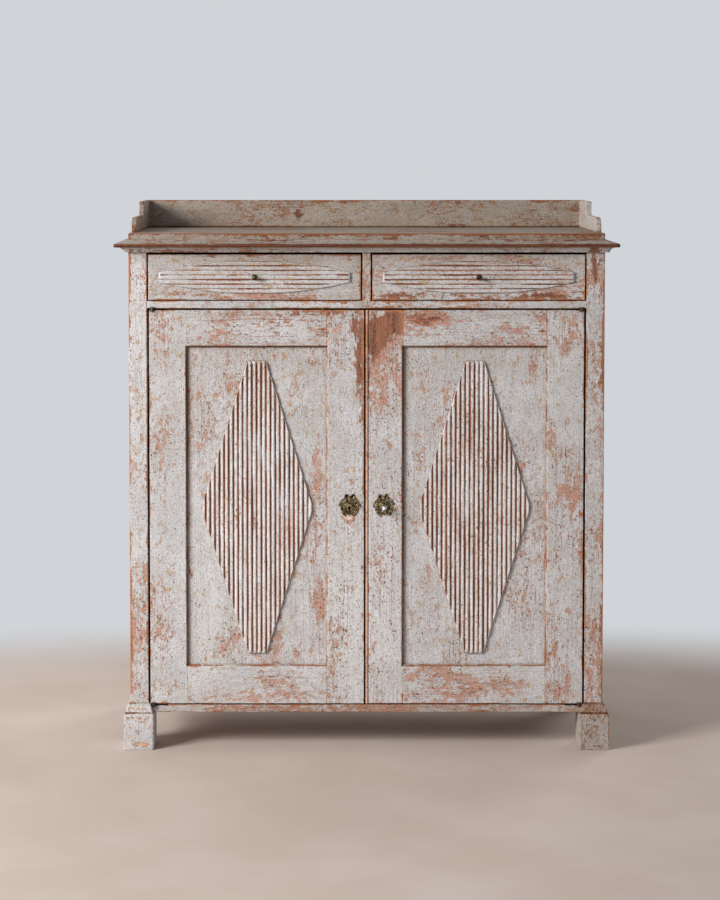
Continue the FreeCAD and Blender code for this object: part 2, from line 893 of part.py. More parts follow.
def door_rail(side, z_inner, z_outer):
    """Top or bottom rail of a door, tenoned into both stiles."""
    bar = box(panel_opening(side, 0), (y_front, y_door_back), (z_inner, z_outer))
    rail = joined([bar] + door_tenons(side, z_inner, z_outer, 0, 0))
    return rail.cut([panel_space(side), panel_splay_space(side)])


def door_panel(side):
    """Panel with a flat face and a back that bevels down to the edge held in the grooves."""
    reach = panel_groove - panel_room
    x_low, x_high = panel_opening(side, reach)
    z_low, z_high = z_panel_low - reach, z_panel_high + reach
    y_edge = y_panel + panel_edge_thick - fit
    edge = box((x_low, x_high), (y_panel, y_edge), (z_low, z_high))
    bevel = reach + panel_bevel
    field = Part.makeWedge(
        x_low + reach, y_edge, z_low + reach, z_low + bevel, x_low + bevel,
        x_high - reach, y_panel + panel_thick, z_high - reach, z_high - bevel, x_high - bevel,
    )
    return joined([edge, field])


# Reeded lozenges

def reed_steps(count, pitch):
    """Section across a row of half-round reeds, as places across it and heights."""
    half = count * pitch / 2
    steps = [(-half, 0), (-half, reed_base)]
    for index in range(count):
        start = index * pitch - half
        steps.append(((start + pitch / 2, reed_base + reed_rise), (start + pitch, reed_base)))
    return steps + [(half, 0)]


def door_lozenge(side):
    """Upright reeded lozenge with blunt ends, planted on a door's panel."""
    x_middle = sum(panel_opening(side, 0)) / 2
    z_middle = (z_panel_low + z_panel_high) / 2 - door_lozenge_drop
    half_height = door_lozenge_height / 2
    half_width = door_reed_count * door_reed_pitch / 2
    half_end = door_reed_end_count * door_reed_pitch / 2
    steps = reed_steps(door_reed_count, door_reed_pitch)
    section = mapped(steps, lambda across, rise: (x_middle + across, y_panel - rise))
    reeds = slab(section, "z", z_middle - half_height, z_middle + half_height)
    outline = [
        (x_middle - half_end, z_middle - half_height),
        (x_middle + half_end, z_middle - half_height),
        (x_middle + half_width, z_middle),
        (x_middle + half_end, z_middle + half_height),
        (x_middle - half_end, z_middle + half_height),
        (x_middle - half_width, z_middle),
    ]
    return reeds.common(slab(outline, "y", y_panel - reed_base - reed_rise - overrun, y_panel))


def drawer_lozenge(side):
    """Long low reeded lens with blunt ends, planted on a drawer front."""
    x_middle, z_middle = drawer_middle(side)
    half_length = drawer_lozenge_length / 2
    half_width = drawer_reed_count * drawer_reed_pitch / 2
    half_end = drawer_reed_end_count * drawer_reed_pitch / 2
    steps = reed_steps(drawer_reed_count, drawer_reed_pitch)
    section = mapped(steps, lambda across, rise: (y_front - rise, z_middle + across))
    reeds = slab(section, "x", x_middle - half_length, x_middle + half_length)
    outline = [
        (x_middle - half_length, z_middle - half_end),
        ((x_middle, z_middle - half_width), (x_middle + half_length, z_middle - half_end)),
        (x_middle + half_length, z_middle + half_end),
        ((x_middle, z_middle + half_width), (x_middle - half_length, z_middle + half_end)),
    ]
    lens = reeds.common(slab(outline, "y", y_front - reed_base - reed_rise - overrun, y_front))
    return lens.cut(knob_hole(side))


# Escutcheons, lock, key and slip bolt

def oval(width, height, thick, x, z, tilt=0):
    """Flat oval standing out from the door's face, turned by a tilt in degrees."""
    curve = Part.Ellipse(Vector(0, 0, 0), max(width, height) / 2, min(width, height) / 2)
    solid = Part.Face(Part.Wire(curve.toShape())).extrude(along("z", thick))
    upright = 90 if height > width else 0
    solid.rotate(Vector(0, 0, 0), along("z", 1), upright + tilt)
    solid.rotate(Vector(0, 0, 0), along("x", 1), 90)
    solid.translate(Vector(x, y_front, z))
    return solid


def oval_ring(width, height, wire, thick, x, z, tilt=0):
    """Oval ring of a given width of metal."""
    hole = oval(width - 2 * wire, height - 2 * wire, thick + overrun, x, z, tilt)
    return oval(width, height, thick, x, z, tilt).cut(hole)


def even_angles(first, last, count):
    """Evenly spaced angles in radians between two angles in degrees."""
    step = (last - first) / (count - 1)
    return [math.radians(first + step * index) for index in range(count)]


def swag_leaves(x, side):
    """Leaves of the swag that hangs from the bow down one side of the medal."""
    leaves = []
    for angle in even_angles(swag_first_angle, swag_last_angle, swag_leaf_count):
        leaf_x = x + side * swag_half_width * math.cos(angle)
        leaf_z = z_medal + swag_half_height * math.sin(angle)
        leaves.append(oval(swag_leaf_width, swag_leaf_height, swag_thick, leaf_x, leaf_z))
    return leaves


def ribbon_end(x, side):
    """Free end of the ribbon, falling outwards from a loop of the bow."""
    folds = []
    for angle in even_angles(ribbon_first_angle, ribbon_last_angle, ribbon_leaf_count):
        fold_x = x + side * ribbon_half_width * math.cos(angle)
        fold_z = z_medal - ribbon_drop + ribbon_half_height * math.sin(angle)
        tilt = side * math.degrees(angle) / 2
        folds.append(oval(ribbon_leaf_width, ribbon_leaf_height, swag_thick, fold_x, fold_z, tilt))
    return folds


def escutcheon(x, tilt):
    """Oval medal with a raised rim and boss, a bow on top and swags, pierced by a keyhole."""
    z_bow = z_medal + bow_rise
    pieces = [
        oval(medal_width, medal_height, medal_plate_thick, x, z_medal),
        oval_ring(medal_width, medal_height, medal_ring_width, medal_ring_thick, x, z_medal),
        oval(medal_boss_width, medal_boss_height, medal_boss_thick, x, z_medal),
        oval(bow_knot_width, bow_knot_height, bow_thick, x, z_bow - bow_knot_drop),
    ]
    for side in (-1, 1):
        loop = (bow_loop_width, bow_loop_height, bow_loop_wire, bow_thick)
        pieces.append(oval_ring(*loop, x + side * bow_spread, z_bow, side * bow_tilt))
        pieces += swag_leaves(x, side) + ribbon_end(x, side)
    plate = joined(pieces).cut(keyhole(x, y_front - overrun, y_front))
    plate.rotate(Vector(x, y_front, z_medal), along("y", 1), -tilt)
    return plate


def x_key():
    """Place of the key across the right door."""
    return door_edges(1)[1] + right_medal_edge


def keyhole(x, y_low, y_high):
    """Round hole with a slot below it, between two depths."""
    hole = Part.makeCylinder(keyhole_radius, y_high - y_low, Vector(x, y_low, z_medal), along("y", 1))
    half = keyhole_slot_width / 2
    slot = box((x - half, x + half), (y_low, y_high), (z_medal - keyhole_slot_length, z_medal))
    return joined([hole, slot])


def lock_bolt():
    """Flat bolt of the lock, notched below for the key's bit."""
    x_nose = door_edges(1)[1] + lock_edge - bolt_nose
    y_low = y_door_back + bolt_lift
    z_low = z_medal + bolt_above_key
    bar = box((x_nose, x_nose + bolt_length), (y_low, y_low + bolt_thick), (z_low, z_low + bolt_height))
    middle = x_key() + bolt_throw / 2
    talon_x = (middle - talon_width / 2, middle + talon_width / 2)
    return bar.cut(box(talon_x, (y_low, y_low + bolt_thick), (z_low, z_low + talon_depth)))


def lock_case():
    """Iron case on the back of the right door, open towards the wood, with the bolt's slot."""
    x_low = door_edges(1)[1] + lock_edge
    z_low = z_medal - lock_height * (1 - lock_above_share)
    y_high = y_door_back + lock_depth
    case = box((x_low, x_low + lock_width), (y_door_back, y_high), (z_low, z_low + lock_height))
    inner_x = (x_low + lock_wall, x_low + lock_width - lock_wall)
    inner_z = (z_low + lock_wall, z_low + lock_height - lock_wall)
    inside = box(inner_x, (y_door_back, y_high - lock_wall), inner_z)
    slot_y = y_door_back + bolt_lift
    slot_z = z_medal + bolt_above_key
    slot = box(
        (x_low, x_low + lock_wall),
        (slot_y - bolt_slot_play, slot_y + bolt_thick + bolt_slot_play),
        (slot_z - bolt_slot_play, slot_z + bolt_height + bolt_slot_play),
    )
    bearing = Vector(x_key(), y_high - lock_wall, z_medal)
    hole = Part.makeCylinder(key_radius + key_running, lock_wall, bearing, along("y", 1))
    return case.cut([inside, slot, hole])


def key_bow(x, y_tip):
    """Flat oval ring at the key's outer end, standing in the plane of its bit."""
    reach = key_bow_reach
    hole_reach = reach - 2 * key_bow_wire
    hole_width = key_bow_width - 2 * key_bow_wire
    x_low = x - key_bow_thick / 2
    solids = []
    for length, width in ((reach, key_bow_width), (hole_reach, hole_width)):
        curve = Part.Ellipse(Vector(0, 0, 0), length / 2, width / 2)
        solid = Part.Face(Part.Wire(curve.toShape())).extrude(along("z", key_bow_thick))
        solid.rotate(Vector(0, 0, 0), along("z", 1), 90)
        solid.rotate(Vector(0, 0, 0), along("y", 1), 90)
        solid.translate(Vector(x_low, y_tip + reach / 2, z_medal))
        solids.append(solid)
    return solids[0].cut(solids[1])


def key():
    """Steel key standing in the lock, its bow and bit tilted as it is left in use."""
    x = x_key()
    y_collar = y_front - medal_ring_thick - key_collar_gap
    y_stem = y_collar - key_collar_thick
    y_tip = y_stem - key_bow_reach + key_bow_wire / 2
    y_end = y_door_back + lock_depth
    axis = along("y", 1)
    stem_start = y_stem - key_bow_wire / 2
    bit_y = (y_door_back + bolt_lift, y_door_back + bolt_lift + bolt_thick)
    half_bit = key_bit_thick / 2
    solid = joined([
        Part.makeCylinder(key_radius, y_end - stem_start, Vector(x, stem_start, z_medal), axis),
        Part.makeCylinder(key_collar_radius, key_collar_thick, Vector(x, y_stem, z_medal), axis),
        box((x - half_bit, x + half_bit), bit_y, (z_medal, z_medal + key_bit_reach)),
        key_bow(x, y_tip),
    ])
    solid.rotate(Vector(x, y_front, z_medal), axis, key_rest_tilt)
    return solid


def slip_bar(z, grow):
    """Bar of the slip bolt between two levels, grown across its section."""
    x = door_edges(-1)[1] - slip_edge
    half = slip_width / 2 + grow
    y_low = y_door_back + slip_plate_thick + slip_play
    return box((x - half, x + half), (y_low - grow, y_low + slip_thick + grow), z)


def slip_levels():
    """Lower end and upper end of the slip bolt at rest."""
    z_high = z_door_high - slip_below_top
    return z_high - slip_length, z_high


def door_bolt():
    """Slip bolt with a small round grip."""
    z_low, z_high = slip_levels()
    x = door_edges(-1)[1] - slip_edge
    y_face = y_door_back + slip_plate_thick + slip_play + slip_thick
    z_grip = (z_low + z_high - slip_travel) / 2
    grip_centre = Vector(x, y_face, z_grip)
    grip = Part.makeCylinder(slip_knob_radius, slip_knob_length, grip_centre, along("y", 1))
    return joined([slip_bar((z_low, z_high), 0), grip])


def bolt_plate():
    """Plate on the left door's back with the two straps that the slip bolt slides in."""
    z_low, z_high = slip_levels()
    x = door_edges(-1)[1] - slip_edge
    half = slip_plate_width / 2
    plate_low = (z_low + z_high - slip_plate_length) / 2
    plate_high = plate_low + slip_plate_length
    y_plate = y_door_back + slip_plate_thick
    plate = box((x - half, x + half), (y_door_back, y_plate), (plate_low, plate_high))
    strap_depth = slip_thick + 2 * slip_play + slip_strap_thick
    strap_half = slip_width / 2 + slip_play + slip_strap_thick
    pieces = [plate]
    for z in (plate_low + slip_strap_margin, plate_high - slip_strap_margin - slip_strap_height):
        strap_z = (z, z + slip_strap_height)
        strap = box((x - strap_half, x + strap_half), (y_plate, y_plate + strap_depth), strap_z)
        bore_y = (y_plate, y_plate + slip_thick + 2 * slip_play)
        bore_half = slip_width / 2 + slip_play
        pieces.append(strap.cut(box((x - bore_half, x + bore_half), bore_y, strap_z)))
    return joined(pieces)


# Drawers

def drawer_edges(side):
    """Inner and outer edge of a drawer across the piece."""
    return side * (divider_width / 2 + drawer_end_gap), side * (x_open - drawer_end_gap)


def drawer_middle(side):
    """Middle of a drawer front, across and up."""
    return sum(drawer_edges(side)) / 2, (z_drawer_low + z_drawer_high) / 2


def drawer_depths():
    """Inner face of the front, inner face of the back and outer face of the back."""
    y_outer = y_front + drawer_depth
    return y_front + drawer_front_thick, y_outer - drawer_side_thick, y_outer


def drawer_levels():
    """Lower edge of the sides, underside and top of the bottom, upper edge of the sides."""
    z_side = z_rail_high + drawer_run_play
    z_under = z_side + drawer_bottom_lift
    return z_side, z_under, z_under + drawer_bottom_thick, z_drawer_high - drawer_side_drop


def dovetails(x, y_root, y_tip, z_low, z_high, grow):
    """Row of tails that widen from root to tip, or their sockets when grown."""
    pitch = (z_high - z_low) / drawer_tail_count
    tails = []
    for index in range(drawer_tail_count):
        middle = z_low + pitch * (index + 1 / 2)
        root = pitch * tail_root_share / 2 + grow
        tip = pitch * tail_tip_share / 2 + grow
        outline = [
            (y_root, middle - root),
            (y_tip, middle - tip),
            (y_tip, middle + tip),
            (y_root, middle + root),
        ]
        tails.append(slab(outline, "x", min(x), max(x)))
    return tails


def drawer_side_x(side, which):
    """Limits across of a drawer's inner (0) or outer (1) side."""
    edge = drawer_edges(side)[which]
    inwards = side if which == 0 else -side
    return edge, edge + inwards * drawer_side_thick


def front_tails(side, which, grow):
    """Lapped tails of a drawer side in the drawer front."""
    y_inner, _, _ = drawer_depths()
    z_low = z_drawer_low + drawer_tail_margin
    z_high = drawer_levels()[3] - drawer_tail_margin
    y_tip = y_inner - drawer_tail_length - grow
    return dovetails(drawer_side_x(side, which), y_inner, y_tip, z_low, z_high, grow)


def rear_tails(side, which, grow):
    """Through tails of a drawer side in the drawer back."""
    _, y_inner, y_outer = drawer_depths()
    z_low = drawer_levels()[2] + drawer_tail_margin
    z_high = drawer_levels()[3] - drawer_back_drop - drawer_tail_margin
    return dovetails(drawer_side_x(side, which), y_inner, y_outer, z_low, z_high, grow)


def drawer_groove_space(side):
    """Space that the drawer bottom takes in the sides and the front."""
    inner, outer = drawer_edges(side)
    rim = drawer_side_thick - drawer_groove
    y_inner, _, y_outer = drawer_depths()
    _, z_under, z_over, _ = drawer_levels()
    wide = box((inner + side * rim, outer - side * rim), (y_inner, y_outer), (z_under, z_over))
    tongue_x = (inner + side * drawer_side_thick, outer - side * drawer_side_thick)
    tongue = box(tongue_x, (y_inner - drawer_groove, y_inner), (z_under, z_over))
    return joined([wide, tongue])


def drawer_front(side):
    """Drawer front, socketed for the sides' tails and bored for the knob."""
    y_inner, _, _ = drawer_depths()
    board = box(drawer_edges(side), (y_front, y_inner), (z_drawer_low, z_drawer_high))
    sockets = front_tails(side, 0, fit) + front_tails(side, 1, fit)
    return board.cut(sockets + [drawer_groove_space(side), knob_hole(side)])


def drawer_side(side, which):
    """Drawer side with lapped tails in front, through tails behind and a groove inside."""
    x = drawer_side_x(side, which)
    y_inner, y_back_inner, y_outer = drawer_depths()
    z_side, _, z_over, z_high = drawer_levels()
    body = box(x, (y_inner, y_back_inner), (z_side, z_high))
    heel = box(x, (y_back_inner, y_outer), (z_side, z_over))
    pieces = [body, heel] + front_tails(side, which, 0) + rear_tails(side, which, 0)
    return joined(pieces).cut(drawer_groove_space(side))


def drawer_back(side):
    """Drawer back, standing on the bottom between the sides' tails."""
    _, y_inner, y_outer = drawer_depths()
    _, _, z_over, z_high = drawer_levels()
    board = box(drawer_edges(side), (y_inner, y_outer), (z_over, z_high - drawer_back_drop))
    return board.cut(rear_tails(side, 0, fit) + rear_tails(side, 1, fit))


def knob_seat():
    """Depth at which a knob's rose sits on the crests of the reeds."""
    return y_front - reed_base - reed_rise


def knob_hole(side):
    """Hole for a knob's shank through the lozenge and the drawer front."""
    x, z = drawer_middle(side)
    start = Vector(x, knob_seat() - overrun, z)
    length = drawer_front_thick + reed_base + reed_rise + 2 * overrun
    return Part.makeCylinder(knob_shank_radius + fit, length, start, along("y", 1))


def drawer_knob(side):
    """Small turned knob on a round rose, with a shank through the drawer front."""
    x, z = drawer_middle(side)
    y_rose = knob_seat() - knob_rose_thick
    y_neck = y_rose - knob_neck_length
    y_ball = y_neck - math.sqrt(knob_radius ** 2 - knob_neck_radius ** 2)
    y_shank = y_front + drawer_front_thick
    half_profile = [
        (x, y_shank),
        (x + knob_shank_radius, y_shank),
        (x + knob_shank_radius, knob_seat()),
        (x + knob_rose_radius, knob_seat()),
        (x + knob_rose_radius, y_rose),
        (x + knob_neck_radius, y_rose),
        (x + knob_neck_radius, y_neck),
        ((x + knob_radius, y_ball), (x, y_ball - knob_radius)),
    ]
    return outline_face(half_profile, "z", z).revolve(Vector(x, y_front, z), along("y", 1), 360)


# Nodes

def save_carcass():
    """Write the pieces that stand still."""
    for name, side in (("left", -1), ("right", 1)):
        save(name + "_front_stile", front_stile(side))
        save(name + "_rear_stile", rear_stile(side))
        save(name + "_side_boards", *side_boards(side))
        save(name + "_front_foot", front_foot(side))
        save("cornice_" + name, cornice_side(side))
        save("gallery_" + name + "_end", gallery_end(side))
    save("bottom_board", bottom_board())
    save("drawer_rail", drawer_rail())
    save("drawer_divider", drawer_divider())
    save("top_rail", top_rail())
    save("rear_top_rail", rear_top_rail())
    save("drawer_runners", side_runner(-1), middle_runner(), side_runner(1))
    save("top_board", top_board())
    save("cornice_front", cornice_front())
    save("gallery_back", gallery_back())
    save("back_boards", *back_boards())
    save("back_nails", *back_nails())
    save("shelves", *(shelf(z) for z in shelf_levels()))
    save("shelf_cleats", *(shelf_cleat(side, z) for side in (-1, 1) for z in shelf_levels()))
    save("door_stops", *door_stops())
    save("fixed_pivots", *fixed_pivots(-1), *fixed_pivots(1))


def save_doors():
    """Write the pieces of both doors, the lock with its key, and the slip bolt."""
    for name, side in (("left_door", -1), ("right_door", 1)):
        save(name + "_hinge_stile", hinge_stile(side))
        save(name + "_top_rail", door_rail(side, z_panel_high, z_door_high))
        save(name + "_bottom_rail", door_rail(side, z_panel_low, z_door_low))
        save(name + "_panel", door_panel(side))
        save(name + "_lozenge", door_lozenge(side))
        save(name + "_pivots", *door_pivots(side))
    save("left_door_meeting_stile", left_meeting_stile())
    save("right_door_meeting_stile", right_meeting_stile())
    save("left_escutcheon", escutcheon(door_edges(-1)[1] - left_medal_edge, 0))
    save("right_escutcheon", escutcheon(x_key(), right_medal_tilt))
    save("lock_case", lock_case())
    save("lock_bolt", lock_bolt())
    save("key", key())
    save("bolt_plate", bolt_plate())
    save("door_bolt", door_bolt())


def save_drawers():
    """Write the pieces of both drawers."""
    for name, side in (("left_drawer", -1), ("right_drawer", 1)):
        save(name + "_front", drawer_front(side))
        save(name + "_sides", drawer_side(side, 0), drawer_side(side, 1))
        save(name + "_back", drawer_back(side))
        save(name + "_bottom", drawer_groove_space(side))
        save(name + "_lozenge", drawer_lozenge(side))
        save(name + "_knob", drawer_knob(side))


os.makedirs("parts", exist_ok=True)
save_carcass()
save_doors()
save_drawers()
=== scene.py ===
"""Looks of a worn, painted two-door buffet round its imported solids. Metres; the front faces -Y."""
import json
import math
from types import SimpleNamespace

import bmesh
import bpy
import numpy as np
from mathutils import Matrix, Vector, noise

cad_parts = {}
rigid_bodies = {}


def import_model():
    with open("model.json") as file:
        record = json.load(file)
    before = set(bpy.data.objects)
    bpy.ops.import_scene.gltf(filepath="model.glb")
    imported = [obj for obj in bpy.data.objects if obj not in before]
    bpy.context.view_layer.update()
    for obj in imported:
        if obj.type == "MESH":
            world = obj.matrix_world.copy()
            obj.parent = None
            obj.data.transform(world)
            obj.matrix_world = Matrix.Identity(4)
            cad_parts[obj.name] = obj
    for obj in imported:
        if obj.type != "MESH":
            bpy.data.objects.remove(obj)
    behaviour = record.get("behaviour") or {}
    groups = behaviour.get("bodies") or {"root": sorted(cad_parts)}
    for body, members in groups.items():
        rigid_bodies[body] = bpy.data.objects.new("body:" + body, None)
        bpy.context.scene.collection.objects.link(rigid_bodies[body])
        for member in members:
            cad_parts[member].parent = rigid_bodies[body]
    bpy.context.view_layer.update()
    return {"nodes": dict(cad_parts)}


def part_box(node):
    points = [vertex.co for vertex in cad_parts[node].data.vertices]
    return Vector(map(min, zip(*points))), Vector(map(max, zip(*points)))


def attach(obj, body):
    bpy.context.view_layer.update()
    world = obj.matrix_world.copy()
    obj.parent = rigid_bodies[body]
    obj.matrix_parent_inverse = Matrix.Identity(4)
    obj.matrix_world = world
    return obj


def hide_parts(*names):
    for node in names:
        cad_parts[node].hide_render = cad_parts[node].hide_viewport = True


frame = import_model()

MM = 0.001
SIDES = ("left", "right")
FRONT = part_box("left_front_stile")[0].y
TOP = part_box("top_board")[1].z
FRONT_SKIN = 14 * MM
ABOVE_CORNICE = 1.2
SHARP = (-0.03 * MM, 0.03 * MM)  # two lattice lines that hold a sharp step
NEAR_FACE = 0.8 * MM
FAR_EDGE = 80 * MM

# Doors: slope round the panel, bead on the right meeting edge, hinge leaves and the slip bolt's hole
SPLAY_WIDTH = 4.2 * MM
SPLAY_DEPTH = 5.0 * MM
BEAD_RADIUS = 3.0 * MM
QUIRK_WIDTH = 3.0 * MM
QUIRK_DEPTH = 2.6 * MM
BEAD_MARKS = (0.4, 1.2, 2, 3, 4, 4.8, 5.6, 5.97, 6.03, 8.97, 9.03, 10.5)
PIVOT_X = 510.0 * MM
LEAF_LENGTH = 34.3 * MM
LEAF_FRONT = FRONT + 1.7 * MM
LEAF_BACK = FRONT + 16.3 * MM
LEAF_THICK = 3.1 * MM
EAR_RADIUS = 5.3 * MM
SLIP_HOLE = ((-58 * MM, -44 * MM), (-181.7 * MM, -174.7 * MM))
SLIP_DEPTH = 12 * MM
SLIP_MARKS = [[place + nudge for place in limits for nudge in SHARP] for limits in SLIP_HOLE]

# Gallery ends: round nose, low part, cove and high part
NOSE = 26 * MM
COVE = 8 * MM
LOW_RISE = 36 * MM
HIGH_RUN = 196 * MM
# Lattice heights that hold the line of painted shade where the gallery stands on the top.
CREASE_SHADE_MARKS = [TOP + step * MM for step in (0, 1.7, 1.8, 3.5, 6)]

UPRIGHT = Matrix(((1, 0, 0, 0), (0, 0, -1, 0), (0, 1, 0, 0), (0, 0, 0, 1)))
LYING = Matrix(((0, -1, 0, 0), (0, 0, -1, 0), (1, 0, 0, 0), (0, 0, 0, 1)))
GRAIN_ORDERS = {"x": (1, 2, 0), "y": (0, 2, 1), "z": (0, 1, 2)}

# Noise in the paint: stretch across and along the grain, scale, detail, roughness and distortion
PAINT_NOISE = {
    "cloud": (1, 1, 13.0, 4.0, 0.55, 0.0), "patch": (1, 0.5, 34.0, 10.0, 0.70, 0.4),
    "bald": (1.1, 0.45, 19.0, 10.0, 0.68, 0.6), "chip": (1, 0.55, 115.0, 7.0, 0.74, 0.2),
    "line": (1, 0.016, 290.0, 4.0, 0.65, 0.3), "fleck": (1, 0.75, 215.0, 3.0, 0.7, 0.0),
    "speck": (1, 0.7, 260.0, 2.0, 0.6, 0.0), "stain": (1, 0.7, 62.0, 5.0, 0.7, 0.0),
    "region": (1, 0.6, 8.0, 3.0, 0.55, 0.0), "crackle": (1, 0.6, 400.0, 3.0, 0.7, 0.3),
}

# Wear on the front, in millimetres: place across, height, half width, half height and strength
BARE_MARKS = (
    (38, 1012, 40, 36, 0.15), (22, 960, 22, 48, 0.13), (12, 900, 12, 40, 0.08), (90, 1036, 30, 9, 0.10),
    (78, 1014, 40, 9, 0.10), (136, 1026, 24, 14, 0.13), (172, 1036, 22, 8, 0.09), (205, 1030, 40, 9, 0.06),
    (120, 1045, 60, 8, 0.05), (-32, 1012, 16, 40, 0.13), (-18, 930, 10, 90, 0.10), (-14, 860, 8, 70, 0.08),
    (150, 1089, 120, 9, 0.09), (330, 1088, 120, 10, 0.10), (460, 1091, 50, 12, 0.12),
    (60, 1090, 40, 10, 0.09), (546, 1130, 10, 60, 0.12), (536, 1180, 9, 30, 0.07), (562, 980, 7, 140, 0.10),
    (524, 960, 5, 160, 0.08), (-160, 1048, 70, 7, 0.08), (-80, 1048, 30, 10, 0.07),
    (-100, 1004, 22, 12, 0.09), (340, 1180, 60, 6, 0.06), (120, 1066, 90, 6, 0.05),
    (-167, 1270, 12, 20, 0.13), (40, 890, 20, 10, 0.07), (-563, 250, 6, 120, 0.07),
    (-563, 1150, 6, 60, 0.06),
)
RUB_MARKS = (
    (-270, 140, 150, 22, 0.075), (-200, 128, 110, 10, 0.05), (290, 155, 190, 26, 0.052),
    (330, 135, 100, 12, 0.03), (-122, 690, 24, 46, 0.12), (-112, 365, 18, 50, 0.08),
    (-120, 480, 18, 60, 0.04), (-255, 255, 110, 28, 0.045), (-380, 640, 28, 80, 0.06),
    (-395, 880, 10, 70, 0.05), (-330, 900, 30, 60, 0.04), (-150, 900, 46, 56, 0.07),
    (-385, 880, 20, 90, 0.03), (-200, 770, 40, 50, 0.03), (-44, 562, 8, 7, 1.6), (-540, 850, 10, 120, 0.08),
    (-545, 620, 14, 60, 0.04), (-475, 880, 22, 110, 0.06), (-480, 730, 20, 40, 0.05),
    (415, 560, 16, 90, 0.06), (400, 912, 24, 34, 0.06), (140, 860, 40, 30, 0.05), (150, 340, 48, 90, 0.06),
    (118, 560, 14, 160, 0.03), (480, 965, 22, 22, 0.07), (478, 618, 24, 30, 0.07),
    (542, 810, 12, 130, 0.05), (545, 220, 16, 90, 0.06), (16, 280, 12, 130, 0.04), (60, 1000, 60, 50, 0.05),
    (0, 97, 520, 10, 0.06), (-260, 1088, 240, 8, 0.04), (430, 1068, 100, 7, 0.04),
    (250, 1180, 200, 8, 0.065), (270, 1092, 240, 16, -0.06), (-385, 310, 44, 150, -0.04),
    (-50, 330, 46, 240, -0.05), (60, 330, 36, 240, -0.04), (-545, 60, 40, 60, -0.03),
    (-538, 13, 22, 6, 0.26), (-550, 79, 22, 3, 0.19), (-541, 69, 14, 3, 0.19), (-546, 99, 22, 3, 0.12),
    (548, 99, 34, 9, 0.04),
)
GRIME_MARKS = (
    (-266, 1180, 300, 26, 0.4), (266, 1180, 300, 26, 0.34), (0, 1130, 40, 60, 0.35),
    (-300, 1045, 260, 14, 0.25), (300, 1045, 260, 16, 0.2), (-262, 950, 180, 40, 0.2),
    (258, 950, 180, 40, 0.2), (545, 600, 40, 700, 0.12), (-262, 840, 200, 180, 0.12),
    (258, 840, 200, 180, 0.12), (-480, 800, 60, 260, 0.12), (-385, 310, 60, 180, -0.2),
    (-50, 330, 50, 240, -0.3), (46, 330, 50, 240, -0.24), (0, 97, 560, 9, 0.4), (-545, 700, 26, 480, -0.15),
)


def tint(red, green, blue):
    """Colour as it looks on a screen, turned into the light values that shaders take."""
    shares = [value / 255 for value in (red, green, blue)]
    linear = [s / 12.92 if s <= 0.04045 else ((s + 0.055) / 1.055) ** 2.4 for s in shares]
    return (*linear, 1.0)


# Shaders

class Net:
    """Short way to add nodes to a tree and link them."""

    def __init__(self, tree):
        self.tree = tree
        tree.nodes.clear()

    def feed(self, socket, value):
        if isinstance(value, bpy.types.NodeSocket):
            self.tree.links.new(value, socket)
        else:
            socket.default_value = value

    def node(self, kind, inputs=None, **settings):
        node = self.tree.nodes.new(kind)
        for name, value in settings.items():
            setattr(node, name, value)
        for key, value in (inputs or {}).items():
            self.feed(node.inputs[key], value)
        return node

    def math(self, operation, first, second=0.0, clamp=False):
        node = self.node("ShaderNodeMath", {0: first, 1: second}, operation=operation, use_clamp=clamp)
        return node.outputs[0]

    def times(self, first, second, clamp=False):
        return self.math("MULTIPLY", first, second, clamp)

    def less(self, first, second, clamp=False):
        return self.math("SUBTRACT", first, second, clamp)

    def total(self, *terms):
        """Sum of values, and of pairs of a value and its weight."""
        weighed = [self.times(*term) if isinstance(term, tuple) else term for term in terms]
        result = weighed[0]
        for term in weighed[1:]:
            result = self.math("ADD", result, term)
        return result

    def vectors(self, operation, first, second):
        return self.node("ShaderNodeVectorMath", {0: first, 1: second}, operation=operation).outputs[0]

    def vector(self, x=0.0, y=0.0, z=0.0):
        return self.node("ShaderNodeCombineXYZ", {0: x, 1: y, 2: z}).outputs[0]

    def parts(self, vector):
        return self.node("ShaderNodeSeparateXYZ", {0: vector}).outputs

    def place(self):
        return self.node("ShaderNodeTexCoord").outputs["Object"]

    def attribute(self, name, output):
        return self.node("ShaderNodeAttribute", attribute_name=name).outputs[output]

    def scaled(self, vector, scale):
        return self.vectors("MULTIPLY", vector, scale)

    def noise(self, vector, scale, detail=4.0, roughness=0.55, distortion=0.0):
        inputs = {"Vector": vector, "Scale": scale, "Detail": detail, "Roughness": roughness}
        inputs["Distortion"] = distortion
        return self.node("ShaderNodeTexNoise", inputs).outputs[0]

    def ramp(self, value, low, high, start=0.0, stop=1.0):
        inputs = {0: value, 1: low, 2: high, 3: start, 4: stop}
        return self.node("ShaderNodeMapRange", inputs, interpolation_type="SMOOTHSTEP").outputs[0]

    def blend(self, share, first, second, way="MIX"):
        inputs = {0: share, 6: first, 7: second}
        return self.node("ShaderNodeMix", inputs, data_type="RGBA", blend_type=way).outputs[2]

    def layers(self, colour, *veils):
        """Colour under veils: for each, a field, where it starts and is full, its share and colour."""
        if isinstance(colour, tuple):
            colour = tint(*colour)
        for field, low, high, share, over in veils:
            colour = self.blend(self.ramp(field, low, high, 0.0, share), colour, tint(*over))
        return colour

    def bump(self, height, strength, distance):
        inputs = {"Height": height, "Strength": strength, "Distance": distance}
        return self.node("ShaderNodeBump", inputs).outputs[0]

    def surface(self, inputs):
        shader = self.node("ShaderNodeBsdfPrincipled", inputs).outputs[0]
        self.node("ShaderNodeOutputMaterial", {"Surface": shader})


def new_material(name):
    """Empty node material and the net that fills it."""
    material = bpy.data.materials.new(name)
    material.use_nodes = True
    return material, Net(material.node_tree)


